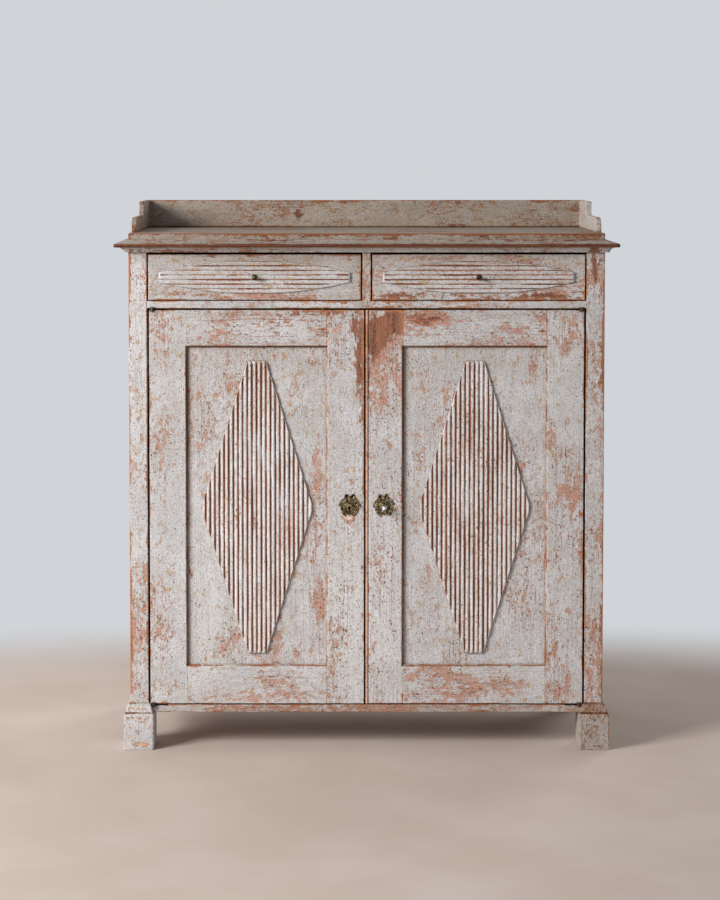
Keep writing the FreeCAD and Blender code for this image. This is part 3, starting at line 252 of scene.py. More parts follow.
def edge_distance(net):
    """How far a point lies from the nearest arris of its own board."""
    from_low, to_high = net.attribute("from_low", "Vector"), net.attribute("to_high", "Vector")
    x, y, z = net.parts(net.vectors("MINIMUM", from_low, to_high))
    lesser, greater = net.math("MINIMUM", x, y), net.math("MAXIMUM", x, y)
    return net.math("MAXIMUM", lesser, net.math("MINIMUM", greater, z))


def paint_wear(net):
    """Noise along the grain, marks of wear, and where the salmon coat and the wood show."""
    worn = SimpleNamespace()
    grain = net.attribute("grain", "Vector")
    for name, (wide, along, *look) in PAINT_NOISE.items():
        setattr(worn, name, net.noise(net.scaled(grain, (wide, wide, along)), *look))
    for name in ("bare", "rub", "grime"):
        setattr(worn, name, net.attribute(name, "Fac"))
    edge = edge_distance(net)
    worn.arris, rim = (net.math("POWER", 2.718, net.times(edge, -fall)) for fall in (360.0, 75.0))
    worn.rubbed = net.total(
        (worn.patch, 0.45), (worn.chip, 0.55), worn.rub, (net.less(worn.region, 0.5), 0.4), (rim, 0.012),
        (worn.bare, 0.4))
    worn.salmon = net.ramp(worn.rubbed, 0.571, 0.587)
    arris_wear = net.times(worn.arris, net.ramp(worn.cloud, 0.40, 0.60, 0.05, 0.19))
    through = net.total((worn.bald, 0.5), (worn.chip, 0.32), (worn.line, 0.18), worn.bare, arris_wear)
    worn.wood = net.ramp(through, 0.595, 0.612)
    return worn


def paint_coats(net, worn):
    """Colours of the pale top coat, the salmon coat under it and the wood."""
    # Below nought, the dirt-and-shade value turns the pale coat whiter: cleaner paint, and a painted
    # highlight on the door reeds' crests.
    pale = net.layers(
        (204, 202, 202), (worn.cloud, 0.40, 0.60, 1.0, (218, 218, 221)),
        (worn.bald, 0.455, 0.425, 0.6, (201, 205, 212)), (worn.fleck, 0.50, 0.41, 0.5, (172, 162, 151)),
        (worn.speck, 0.52, 0.60, 0.5, (233, 230, 227)), (worn.grime, 0.0, -0.6, 1.0, (242, 241, 240)))
    # Rubbed hardest, the salmon turns pale peach; on the bead this paleness is a painted highlight.
    rosy = net.layers(
        (198, 124, 84), (worn.chip, 0.46, 0.54, 1.0, (206, 156, 133)),
        (worn.stain, 0.44, 0.56, 0.7, (184, 148, 136)), (worn.rub, 0.12, 0.20, 0.9, (236, 182, 148)),
        (worn.rub, 0.32, 0.38, 0.95, (250, 226, 214)))
    red = net.layers(
        (98, 58, 40), (worn.line, 0.42, 0.58, 1.0, (160, 104, 78)),
        (worn.chip, 0.50, 0.58, 0.6, (172, 112, 82)), (worn.fleck, 0.52, 0.60, 0.5, (178, 138, 118)))
    # Near an arris the bare wood turns orange: fresh wear, and a painted highlight along the edge.
    return pale, rosy, net.blend(net.times(worn.arris, 0.85), red, tint(214, 146, 98))


def paint_colour(net, worn, pits):
    """Coats of paint with their streaks, hairs, stains, crackle, rust, pits, and dirt with painted shade."""
    pale, rosy, red = paint_coats(net, worn)
    faint = net.ramp(worn.rubbed, 0.540, 0.575, 0.0, 0.16)
    colour = net.blend(net.math("MAXIMUM", faint, net.times(worn.salmon, 0.93)), pale, rosy)
    scored = net.total(worn.line, (worn.rub, 0.6))
    streak = net.times(net.ramp(scored, 0.575, 0.61), net.ramp(worn.region, 0.46, 0.58, 0.15, 0.65))
    streak = net.times(streak, net.ramp(worn.rub, 0.32, 0.38, 1.0, 0.2))
    colour = net.blend(streak, colour, tint(164, 116, 98))
    hairs = net.times(net.ramp(worn.line, 0.49, 0.42), net.ramp(worn.chip, 0.44, 0.56, 0.1, 0.4))
    colour = net.blend(hairs, colour, tint(158, 142, 128))
    yellowed = net.total(worn.stain, (worn.grime, 0.035))
    colour = net.layers(
        colour, (yellowed, 0.600, 0.627, 0.7, (190, 150, 92)),
        (worn.crackle, 0.46, 0.38, 0.5, (150, 132, 116)), (worn.crackle, 0.55, 0.64, 0.45, (236, 231, 226)))
    colour = net.blend(worn.wood, colour, red)
    rust = net.times(net.ramp(worn.chip, 0.608, 0.63), net.ramp(worn.region, 0.46, 0.58, 0.2, 0.85))
    colour = net.blend(rust, colour, tint(172, 96, 62))
    colour = net.blend(pits, colour, tint(96, 72, 58))
    colour = net.layers(colour, (worn.speck, 0.645, 0.675, 0.85, (66, 52, 44)))
    # Dirt and painted shade together, multiplied in as a brown veil.
    darkening = net.times(worn.grime, 0.9, clamp=True)
    return net.blend(darkening, colour, tint(170, 146, 117), "MULTIPLY")


def worn_paint():
    """Chalky grey-white paint over a salmon coat, worn through to red-brown wood."""
    material, net = new_material("worn_paint")
    worn = paint_wear(net)
    pits = net.times(net.ramp(worn.fleck, 0.598, 0.62), net.ramp(worn.region, 0.44, 0.58, 0.3, 0.9))
    coat = net.less(1.0, net.math("MAXIMUM", worn.wood, net.times(worn.salmon, 0.5)))
    ridges = net.total((worn.chip, 1.2), (worn.line, 0.7), (worn.crackle, 0.6))
    net.surface({
        "Base Color": paint_colour(net, worn, pits),
        "Roughness": net.ramp(worn.wood, 0.0, 1.0, 0.8, 0.62),
        "Specular IOR Level": 0.28,
        "Normal": net.bump(net.total(coat, ridges, (pits, -0.7)), 0.6, 0.8 * MM),
    })
    return material


def bare_pine(axis):
    """Unpainted, dusty pine whose grain runs along one axis."""
    material, net = new_material("bare_pine_" + axis)
    place = net.vectors("ADD", net.place(), net.attribute("grain", "Vector"))
    along = {"x": (0.03, 1, 1), "y": (1, 0.03, 1), "z": (1, 1, 0.03)}[axis]
    grain = net.scaled(place, along)
    rings = net.noise(grain, 46.0, 4.0, 0.55, 0.8)
    late = net.noise(grain, 150.0, 4.0, 0.6, 0.6)
    fibre = net.noise(grain, 420.0, 3.0, 0.6)
    dust = net.noise(place, 9.0, 5.0, 0.6)
    stretched = net.scaled(place, tuple(0.35 + 0.65 * share for share in along))
    knots = net.ramp(net.noise(stretched, 9.0, 1.0), 0.70, 0.75)
    colour = net.layers(
        (178, 145, 108), (rings, 0.38, 0.66, 1.0, (152, 116, 82)), (late, 0.49, 0.60, 0.6, (122, 86, 56)),
        (fibre, 0.52, 0.68, 0.5, (104, 76, 54)))
    colour = net.blend(net.ramp(dust, 0.40, 0.65, 0.15, 0.5), colour, tint(156, 138, 116))
    colour = net.blend(net.attribute("rub", "Fac"), colour, tint(112, 88, 66))
    net.surface({
        "Base Color": net.blend(knots, colour, tint(88, 56, 36)),
        "Roughness": net.ramp(dust, 0.3, 0.7, 0.7, 0.88),
        "Specular IOR Level": 0.25,
        "Normal": net.bump(net.total(rings, (fibre, 0.6)), 0.4, 0.4 * MM),
    })
    return material


def metal(name, deep, bright, roughness, scale, metallic=1.0):
    """Metal darkened in patches and rubbed bright elsewhere."""
    material, net = new_material(name)
    place = net.place()
    stain = net.noise(place, scale, 6.0, 0.65)
    grit = net.noise(place, scale * 6.0, 3.0, 0.6)
    share = net.ramp(net.total((stain, 0.7), (grit, 0.3)), 0.38, 0.62)
    share = net.less(share, net.attribute("grime", "Fac"), clamp=True)
    net.surface({
        "Base Color": net.blend(share, deep, bright),
        "Metallic": metallic,
        "Roughness": net.ramp(stain, 0.3, 0.7, roughness[1], roughness[0]),
        "Normal": net.bump(grit, 0.25, 0.3 * MM),
    })
    return material


PAINT = worn_paint()
PINE = {axis: bare_pine(axis) for axis in "xyz"}
BRASS = metal("aged_brass", tint(50, 38, 25), tint(178, 156, 116), (0.42, 0.62), 160.0)
IRON = metal("forged_iron", tint(44, 40, 37), tint(92, 84, 77), (0.45, 0.75), 120.0, 0.85)
STEEL = metal("key_steel", tint(172, 174, 178), tint(238, 240, 244), (0.18, 0.36), 200.0)


# Boards

def stations(low, high, step, rims, marks=()):
    """Places along an edge: close by both arrises, even between them, and at given marks."""
    inset, apart = 0.3 * MM, 0.02 * MM
    count = max(2, round((high - low) / step))
    inner = np.linspace(low + rims[-1], high - rims[-1], count)
    near = [low + rim for rim in rims] + [high - rim for rim in rims]
    wanted = [mark for mark in marks if low + inset < mark < high - inset]
    places = np.sort(np.concatenate([near, inner, wanted]))
    return places[np.concatenate([[True], np.diff(places) > apart])]


def shell(axes):
    """Grid over the six sides of a box with shared corners, as points and outward quads."""
    seen, points, quads = {}, [], []

    def corner(place):
        if place not in seen:
            seen[place] = len(points)
            points.append([axes[k][place[k]] for k in range(3)])
        return seen[place]

    for axis in range(3):
        u, v = (axis + 1) % 3, (axis + 2) % 3
        for end in (0, len(axes[axis]) - 1):
            for i in range(len(axes[u]) - 1):
                for j in range(len(axes[v]) - 1):
                    quad = []
                    for a, b in ((i, j), (i + 1, j), (i + 1, j + 1), (i, j + 1)):
                        place = [0, 0, 0]
                        place[axis], place[u], place[v] = end, a, b
                        quad.append(corner(tuple(place)))
                    quads.append(quad if end else quad[::-1])
    return np.array(points), quads


def ripple(points, scale, seed):
    """Smooth noise at each point, about -1 to 1."""
    shift = Vector((seed * 3.7, seed * 1.9, seed * 5.3))
    return np.array([noise.noise(Vector(point) * scale + shift) for point in points])


def rounded(points, low, high, radius, square):
    """Points of a box pulled in to worn, rounded arrises, except at ends left square."""
    tiny = 1e-9
    inner_low, inner_high = low + radius[:, None], high - radius[:, None]
    for axis in square:
        inner_low[:, axis], inner_high[:, axis] = low[axis], high[axis]
    core = np.minimum(np.maximum(points, inner_low), inner_high)
    away = points - core
    length = np.linalg.norm(away, axis=1)
    share = np.where(length > tiny, radius / np.maximum(length, tiny), 0)
    share = np.where((np.abs(away) > tiny).sum(axis=1) > 1, share, 1)
    return core + away * share[:, None]


def board(low, high, grain, seed, radius=1.2, wear=0.9, step=8.0, square="", joint="", marks=None,
          relief=None, bare=0.0, rub=0.0, grime=0.0):
    """Plank with worn arrises: its points, faces and what its paint has gone through."""
    low, high = np.array(low, float), np.array(high, float)
    radius, step = radius * MM, step * MM
    rims = (0, 0.35 * radius, radius, 1.8 * radius)
    marks = marks or ((), (), ())
    axes = [stations(low[k], high[k], step, rims, marks[k]) for k in range(3)]
    points, quads = shell(axes)
    worn = np.clip(1 + wear * (ripple(points, 22, seed) + 0.7 * ripple(points, 75, seed + 5)), 0.35, 3.2)
    thin = (high - low).min() / 2.2
    places = rounded(points, low, high, np.minimum(radius * worn, thin), ["xyz".index(a) for a in square])
    places[:, 1] += 0.25 * MM * ripple(points, 9, seed + 2) + 0.1 * MM * ripple(points, 40, seed + 3)
    if relief:
        places = relief(places)
    wear_low, wear_high = low.copy(), high.copy()
    for axis in joint:
        wear_low["xyz".index(axis)] -= FAR_EDGE
        wear_high["xyz".index(axis)] += FAR_EDGE
    return finished(places, quads, grain, seed, wear_low, wear_high, bare, rub, grime)


def finished(points, quads, grain, seed, low=None, high=None, bare=0.0, rub=0.0, grime=0.0):
    """Points and faces with their grain, marks of wear and distances from the arrises, if they have any."""
    if low is None:
        low, high = points.min(axis=0) - 1.0, points.max(axis=0) + 1.0
    order = list(GRAIN_ORDERS[grain])
    offset = np.random.default_rng(seed).uniform(-40, 40, 3)
    return {
        "points": points,
        "quads": quads,
        "grain": points[:, order] + offset,
        "from_low": points - low,
        "to_high": high - points,
        "bare": bare + marked(points, BARE_MARKS),
        "rub": rub + marked(points, RUB_MARKS),
        "grime": grime + marked(points, GRIME_MARKS),
    }


def marked(points, marks):
    """Sum of the front's marks at each point."""
    amount = np.zeros(len(points))
    front = (points[:, 1] < FRONT + FRONT_SKIN) | (points[:, 2] > ABOVE_CORNICE)
    for x, z, width, height, strength in marks:
        across = (points[:, 0] / MM - x) / width
        up = (points[:, 2] / MM - z) / height
        amount += np.where(front, strength * np.exp(-(across ** 2 + up ** 2) * 0.9), 0)
    return amount


def as_mesh(name, parts):
    """One mesh from several parts, with their attributes."""
    points, quads, start = [], [], 0
    for part in parts:
        points.append(part["points"])
        quads += [[start + corner for corner in quad] for quad in part["quads"]]
        start += len(part["points"])
    mesh = bpy.data.meshes.new(name)
    mesh.from_pydata(np.concatenate(points).tolist(), [], quads)
    for key, kind in (("grain", "FLOAT_VECTOR"), ("from_low", "FLOAT_VECTOR"), ("to_high", "FLOAT_VECTOR"),
                      ("bare", "FLOAT"), ("rub", "FLOAT"), ("grime", "FLOAT")):
        values = np.concatenate([np.asarray(part[key], np.float32) for part in parts])
        field = "vector" if kind == "FLOAT_VECTOR" else "value"
        mesh.attributes.new(key, kind, "POINT").data.foreach_set(field, values.ravel())
    shape = bmesh.new()
    shape.from_mesh(mesh)
    bmesh.ops.remove_doubles(shape, verts=shape.verts, dist=0.004 * MM)
    shape.to_mesh(mesh)
    shape.free()
    return mesh


def dress(name, mesh, body, nodes, material):
    """Show a mesh in place of CAD nodes, on their body."""
    mesh.materials.clear()
    mesh.materials.append(material)
    mesh.shade_smooth()
    piece = bpy.data.objects.new(name, mesh)
    bpy.context.scene.collection.objects.link(piece)
    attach(piece, body)
    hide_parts(*nodes)


def paint_piece(node, body, parts):
    """Painted wood in place of one CAD node."""
    dress(node + "_painted", as_mesh(node, parts), body, [node], PAINT)


def places_of(mesh):
    """A mesh's points as an array."""
    flat = np.zeros(len(mesh.vertices) * 3)
    mesh.vertices.foreach_get("co", flat)
    return flat.reshape(-1, 3)


def leaf_marks(side):
    """Lattice marks round a hinge leaf, across and from front to back."""
    across = (PIVOT_X + EAR_RADIUS, PIVOT_X - EAR_RADIUS, PIVOT_X - LEAF_LENGTH)
    x = [side * (place + nudge) for place in across for nudge in SHARP]
    y = [place + nudge for place in (LEAF_FRONT, LEAF_BACK) for nudge in SHARP]
    return x, y


def let_in(points, side, face, way):
    """Sinks one end face where a hinge leaf lies, by the leaf's thickness."""
    across = PIVOT_X - side * points[:, 0]
    leaf = (across > -EAR_RADIUS) & (across < LEAF_LENGTH) & (points[:, 1] < LEAF_BACK)
    leaf &= (points[:, 1] > LEAF_FRONT) | (np.abs(across) < EAR_RADIUS)
    leaf &= np.abs(points[:, 2] - face) < NEAR_FACE
    points[leaf, 2] = face + way * LEAF_THICK
    return points


# Carcass

def carcass_posts():
    """Front and rear posts and the boards of both sides."""
    for seed, side in enumerate(SIDES):
        low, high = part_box(side + "_front_stile")
        post = board(low, high, "z", 11 + seed, 1.4, rub=0.004, joint="z")
        inward = np.abs(np.abs(post["points"][:, 0]) - max(abs(low.x), abs(high.x))) / MM
        post["bare"] += 0.08 * np.exp(-inward / 3)
        post["rub"] += 0.07 * np.exp(-inward / 6)
        paint_piece(side + "_front_stile", "carcass", [post])
        paint_piece(side + "_rear_stile", "carcass", [rear_post(side, 21 + seed)])
        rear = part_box(side + "_rear_stile")[0].y
        seams = (high.y, (high.y + rear) / 2, rear)
        low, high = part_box(side + "_side_boards")
        boards = []
        for k in range(2):
            corners = (low.x, seams[k], low.z), (high.x, seams[k + 1], high.z)
            boards.append(board(*corners, "z", 31 + seed * 2 + k, 0.8, rub=0.02, grime=0.15))
        paint_piece(side + "_side_boards", "carcass", boards)


def rear_post(side, seed):
    """Rear post, which runs to the floor as a leg and is rebated for the back boards."""
    low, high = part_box(side + "_rear_stile")
    boards_low, boards_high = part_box("back_boards")
    way = -1 if side == "left" else 1
    rebate = (way * boards_high.x, boards_low.y, boards_low.z)
    marks = [[place + nudge for nudge in SHARP] for place in rebate]

    def rebated(points):
        lapped = (way * points[:, 0] < boards_high.x) & (points[:, 2] > boards_low.z)
        points[:, 1] = np.where(lapped, np.minimum(points[:, 1], boards_low.y), points[:, 1])
        return points

    return board(low, high, "z", seed, 1.6, marks=marks, relief=rebated, rub=0.01, grime=0.3)


def back_boards():
    """Five upright boards, planed and softened at their edges, each with its own tone."""
    low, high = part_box("back_boards")
    tones, gap = (0.12, 0.42, 0.05, 0.30, 0.20), 0.5 * MM
    pitch = (high.x - low.x + gap) / len(tones)
    boards = []
    for index, tone in enumerate(tones):
        x = low.x + index * pitch
        corner = (x + pitch - gap, high.y - gap, high.z)
        part = board((x, low.y, low.z), corner, "z", 25 + index, 1.5, step=14, rub=tone)
        part["grain"] = part["grain"] - part["points"]
        boards.append(part)
    mesh = as_mesh("back_boards", boards)
    dress("back_boards_planed", mesh, "carcass", ["back_boards"], PINE["z"])


def carcass_rails():
    """Floor, drawer rail, divider and top."""
    bottom = hinge_board("bottom_board", 41, "top", 2.0, rub=0.03, grime=0.2)
    paint_piece("bottom_board", "carcass", [bottom])
    rail = hinge_board("drawer_rail", 42, "under", 1.2, rub=0.012, grime=0.1)
    paint_piece("drawer_rail", "carcass", [rail])
    low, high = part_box("drawer_divider")
    post = board(low, high, "z", 43, 1.2, square="z", joint="z", bare=-0.02)
    paint_piece("drawer_divider", "carcass", [post])
    low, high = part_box("top_board")
    heights = (high.z - 4 * MM, high.z - 7 * MM, low.z + 5 * MM)
    top = board(low, high, "x", 44, 1.5, step=12, marks=((), (), heights), rub=0.01, bare=0.015, grime=0.78)
    _, y, z = top["points"].T
    worn_edge = 0.13 * np.exp((z - high.z) / (5 * MM)) + 0.015
    top["bare"] += np.where(y < FRONT + 2 * MM, worn_edge, 0)
    paint_piece("top_board", "carcass", [top])


def hinge_board(node, seed, side_of_leaf, radius, **wear):
    """Floor or drawer rail, let in for the fixed hinge leaves of both doors."""
    low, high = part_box(node)
    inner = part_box("right_front_stile")[0].x
    if node == "drawer_rail":
        low.x, high.x = -inner, inner
    face, way = (high.z, -1) if side_of_leaf == "top" else (low.z, 1)
    marks = [leaf_marks(side) for side in (-1, 1)]
    x_marks = marks[0][0] + marks[1][0] + SLIP_MARKS[0]
    y_marks = marks[0][1] + SLIP_MARKS[1]

    def relief(points):
        for side in (-1, 1):
            points = let_in(points, side, face, way)
        return slip_hole(points, face) if side_of_leaf == "under" else points

    ends = "x" if node == "drawer_rail" else ""
    return board(low, high, "x", seed, radius, square=ends, joint=ends, marks=(x_marks, y_marks, ()),
                 relief=relief, **wear)


def slip_hole(points, face):
    """Hole in the drawer rail's underside that takes the left door's slip bolt."""
    (x_low, x_high), (y_low, y_high) = SLIP_HOLE
    x, y, z = points.T
    hole = (x > x_low) & (x < x_high) & (y > y_low) & (y < y_high) & (np.abs(z - face) < NEAR_FACE)
    points[hole, 2] = face + SLIP_DEPTH
    return points


# Cornice, gallery and feet

def loft(rings, grain, seed):
    """Closed skin over a row of equal rings, with both ends filled."""
    rows, count = rings.shape[:2]
    quads = []
    for row in range(rows - 1):
        for k in range(count):
            a, b = row * count + k, row * count + (k + 1) % count
            quads.append([a, b, b + count, a + count])
    quads.append(list(range(count))[::-1])
    quads.append(list(range((rows - 1) * count, rows * count)))
    points = rings.reshape(-1, 3)
    middle = points.mean(axis=0)
    corners = np.array([points[quad[:3]] - middle for quad in quads])
    volume = np.einsum("ij,ij->", corners[:, 0], np.cross(corners[:, 1], corners[:, 2]))
    if volume < 0:
        quads = [quad[::-1] for quad in quads]
    return finished(points, quads, grain, seed)


def cornice_profile():
    """Cornice section from its foot round to its top: distance out, height and wear."""
    foot, reach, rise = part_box("cornice_front")[0].z, 32.0 * MM, 30.0 * MM
    cove = [(0.31 + 0.43 * (1 - math.cos(t * math.pi / 2)), 0.4 * math.sin(t * math.pi / 2), 0.05, 0.08)
            for t in np.linspace(0, 1, 9)]
    rest = [
        (0.80, 0.405, 0.06, 0.4), (0.965, 0.42, 0.16, 0.8), (0.99, 0.45, 0.2, 1.0), (1.0, 0.52, 0.2, 1.0),
        (1.0, 0.60, 0.2, 1.0), (0.985, 0.66, 0.18, 0.9), (0.95, 0.70, 0.1, 0.7), (0.80, 0.745, 0.05, 0.7),
        (0.60, 0.81, 0.05, 0.6), (0.38, 0.88, 0.07, 0.6), (0.18, 0.95, 0.09, 0.6), (0.06, 1.0, 0.1, 0.6),
        (0.0, 1.0, 0.0, 0.6), (0.0, 0.0, 0.0, 0.6),
    ]
    return [(out * reach, foot + up * rise, bare, grime) for out, up, bare, grime in cove + rest]


def cornice():
    """Moulding round the front and ends, mitred at the corners."""
    out, z, bare, grime = (np.array(column) for column in zip(*cornice_profile()))
    half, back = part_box("right_front_stile")[1].x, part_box("right_rear_stile")[1].y
    along = np.linspace(-1, 1, 140)[:, None]
    front = np.stack(np.broadcast_arrays(along * (half + out), FRONT - out, z), axis=-1)
    down = np.linspace(0, 1, 60)[:, None]
    y = (FRONT - out) * (1 - down) + back * down
    left = np.stack(np.broadcast_arrays(-half - out, y, z), axis=-1)
    lengths = (("front", front, "x"), ("left", left, "y"), ("right", left * (-1, 1, 1), "y"))
    for seed, (name, rings, grain) in enumerate(lengths):
        part = loft(rings, grain, 71 + seed)
        part["bare"] += np.tile(bare, len(rings))
        part["grime"] += np.tile(grime, len(rings))
        tip = (np.tile(out, len(rings)) > 25 * MM)[:, None]
        knocks = np.stack([ripple(part["points"], 60, 81 + k) for k in range(3)], axis=-1) * 0.5 * MM
        part["points"] = part["points"] + np.where(tip, knocks, 0)
        paint_piece("cornice_" + name, "carcass", [part])


def gallery_height(y, low, high):
    """Height of a gallery end along its length: round nose, low part, small cove and high part."""
    step = high.y - HIGH_RUN
    into_nose = np.clip((y - low.y) / NOSE, 0, 1)
    height = TOP + LOW_RISE - NOSE * (1 - np.sqrt(1 - (1 - into_nose) ** 2))
    into_cove = np.clip((y - step) / COVE + 1, 0, 1)
    height = height + COVE * (1 - np.sqrt(1 - into_cove ** 2))
    return np.where(y >= step - 0.001 * MM, high.z, height)


def crease_shade_line(part):
    """Painted shade, over a little bare wood, in the crease where the gallery stands on the top."""
    above = np.clip((part["points"][:, 2] - TOP) / MM, 0, None)
    part["grime"] += 1.2 * np.exp(-above / 2)
    part["bare"] += 0.1 * np.exp(-above / 1.6)


def gallery_end(side, seed):
    """Low board at one end of the top, stepped up towards the back."""
    low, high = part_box("gallery_" + side + "_end")
    step = high.y - HIGH_RUN
    marks = [low.y + NOSE * share for share in (0.02, 0.06, 0.13, 0.23, 0.36, 0.5, 0.66, 0.83, 1)]
    marks += [step - COVE * share for share in (1, 0.8, 0.6, 0.4, 0.25, 0.13, 0.05)]
    marks += [step - 0.05 * MM, step, step + 1.5 * MM]

    def stepped(points):
        share = (points[:, 2] - low.z) / (high.z - low.z)
        points[:, 2] = low.z + share * (gallery_height(points[:, 1], low, high) - low.z)
        return points

    # The left end is darker: dirt, and painted shade on its inner face, which is turned from the light.
    darkening, worn = (0.95, 0.05) if side == "left" else (0.4, 0.01)
    end = board(low, high, "y", seed, 1.6, marks=((), marks, CREASE_SHADE_MARKS), relief=stepped, rub=0.01,
                bare=worn, grime=darkening)
    crease_shade_line(end)
    paint_piece("gallery_" + side + "_end", "carcass", [end])


def gallery_back():
    """Low board along the back of the top, shrunk from it in front and dovetailed into both ends."""
    low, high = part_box("gallery_back")
    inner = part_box("gallery_left_end")[1].x
    gap, depth = 1.75 * MM, 5 * MM

    def shrunk(points):
        sunk = (points[:, 2] < TOP + gap) & (points[:, 1] < low.y + depth)
        points[sunk, 1] += depth
        return points

    back = board((inner, low.y, low.z), (-inner, high.y, high.z), "x", 53, 1.4, square="x", joint="x",
                 marks=((), (), CREASE_SHADE_MARKS), relief=shrunk, rub=0.01, bare=0.01, grime=0.79)
    crease_shade_line(back)
    tails = [gallery_dovetail(side, low, high, -inner) for side in (-1, 1)]
    paint_piece("gallery_back", "carcass", [back] + tails)


def gallery_dovetail(side, low, high, inner):
    """Tail of the gallery's back, a hair proud of the end that it ties."""
    middle, half, proud = (TOP + high.z) / 2, 15 * MM, 0.25 * MM
    x = np.sort([side * inner, side * (high.x + proud)])

    def flared(points):
        share = np.clip((side * points[:, 0] - inner) / (high.x - inner), 0, 1)
        points[:, 2] = middle + (points[:, 2] - middle) * (0.7 + 0.3 * share)
        return points

    return board((x[0], low.y, middle - half), (x[1], high.y + proud, middle + half), "x", 54, 0.5,
                 relief=flared, rub=0.04, bare=0.04, grime=0.6)


def front_foot(side, seed):
    """Block foot that draws in to its post by a small moulding."""
    block, moulding = 86 * MM, 25 * MM
    heights = [block + moulding * share for share in (0, 0.06, 0.2, 0.24, 0.43, 0.62, 0.9, 1)]
    shares = (1.0, 0.84, 0.84, 0.72, 0.61, 0.55, 0.36, 0.08)
    low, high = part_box(side + "_front_foot")
    post_low, post_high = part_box(side + "_front_stile")
    limits = ((low.x, high.x, post_low.x, post_high.x), (low.y, high.y, post_low.y, high.y))

    def drawn_in(points):
        share = np.interp(points[:, 2], heights, shares)
        for axis, (outer_low, outer_high, inner_low, inner_high) in enumerate(limits):
            here_low = inner_low + (outer_low - inner_low) * share
            here_high = inner_high + (outer_high - inner_high) * share
            part = (points[:, axis] - outer_low) / (outer_high - outer_low)
            points[:, axis] = here_low + part * (here_high - here_low)
        return points

    # The right foot is darker: dirt, and painted shade for its distance from the light.
    darkening, worn = (-0.1, -0.01) if side == "left" else (0.5, -0.02)
    foot = board(low, (high.x, high.y, heights[-1]), "z", seed, 1.8, step=5, marks=((), (), heights),
                 relief=drawn_in, rub=worn / 2, bare=worn, grime=darkening)
    ledge_lines(foot, heights)
    paint_piece(side + "_front_foot", "carcass", [foot])


def ledge_lines(foot, heights):
    """Bare wood along a foot's ledge and round its top, with painted shade darkening the corners of the
    step.
    """
    up, inset = foot["points"][:, 2], 0.5 * MM
    ledge = (up > heights[0] + inset) & (up < heights[3] - inset)
    line = np.where(ledge, 1.0, np.exp((up - heights[-1]) / (3 * MM)))
    foot["bare"] += 0.08 * line
    foot["grime"] += 0.7 * line


# Doors

def panel_opening(door):
    """Limits of a door's panel opening, across and up."""
    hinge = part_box(door + "_hinge_stile")
    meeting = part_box(door + "_meeting_stile")
    left, right = (hinge, meeting) if hinge[0].x < meeting[0].x else (meeting, hinge)
    bottom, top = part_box(door + "_bottom_rail"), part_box(door + "_top_rail")
    return left[1].x, right[0].x, bottom[1].z, top[0].z


def splay_shade_and_wear(wood, opening):
    """Painted shade, with some bare brown wood, on the splays: darkest on the left and upper ones, which
    face away from the light.
    """
    x_low, x_high, z_low, z_high = opening
    x, y, z = wood["points"].T
    sloped = (y > FRONT + 0.6 * MM) & (y < FRONT + SPLAY_DEPTH + 6 * MM)
    reach = 1.3 * SPLAY_WIDTH
    left = sloped & (x > x_low - reach) & (x <= x_low + MM)
    right = sloped & (x < x_high + reach) & (x >= x_high - MM)
    upper = sloped & (z < z_high + reach) & (z >= z_high - MM)
    lower = sloped & (z > z_low - reach) & (z <= z_low + MM)
    wood["grime"] += np.where(left, 1.0, np.where(upper, 0.8, np.where(right | lower, 0.45, 0)))
    wood["bare"] += np.where(left | upper, 0.10, np.where(right | lower, 0.07, 0))


def splayed(points, opening):
    """Frame points sloped down to the panel round its opening, with soft corners."""
    x_low, x_high, z_low, z_high = opening
    across = np.maximum(np.maximum(x_low - points[:, 0], points[:, 0] - x_high), 0)
    up = np.maximum(np.maximum(z_low - points[:, 2], points[:, 2] - z_high), 0)
    depth = SPLAY_DEPTH * np.clip(1 - np.hypot(across, up) / SPLAY_WIDTH, 0, 1)
    points[:, 1] = np.maximum(points[:, 1], FRONT + depth)
    return points


def beaded(points, edge):
    """Right meeting stile's bead and the quirk beside it."""
    across = points[:, 0] - edge
    bow = np.sqrt(np.clip(BEAD_RADIUS ** 2 - (across - BEAD_RADIUS) ** 2, 0, None))
    drop = np.where(across <= 2 * BEAD_RADIUS, BEAD_RADIUS - bow, QUIRK_DEPTH)
    drop = np.where(across >= 2 * BEAD_RADIUS + QUIRK_WIDTH, 0, drop)
    points[:, 1] = np.maximum(points[:, 1], FRONT + drop)
    return points


def bead_wear_and_shading(wood, edge):
    """Peach paint on the bead, made pale as a painted highlight, and painted shade with a little bare wood
    in its quirk.
    """
    across = (wood["points"][:, 0] - edge) / MM
    bead = across < 2 * BEAD_RADIUS / MM + 0.01
    quirk = ~bead & (across < (2 * BEAD_RADIUS + QUIRK_WIDTH) / MM + 0.02)
    wood["bare"] += np.where(bead, -0.05, np.where(quirk, 0.04, 0))
    wood["rub"] += np.where(bead, 0.26, 0)
    wood["grime"] += np.where(quirk, 0.3, 0)


def near(*places):
    """Marks where the splay begins and ends, on both sides of given places."""
    steps = (0, 0.3, 0.6, 1, 1.3)
    return [place + side * step * SPLAY_WIDTH for place in places for step in steps for side in (-1, 1)]


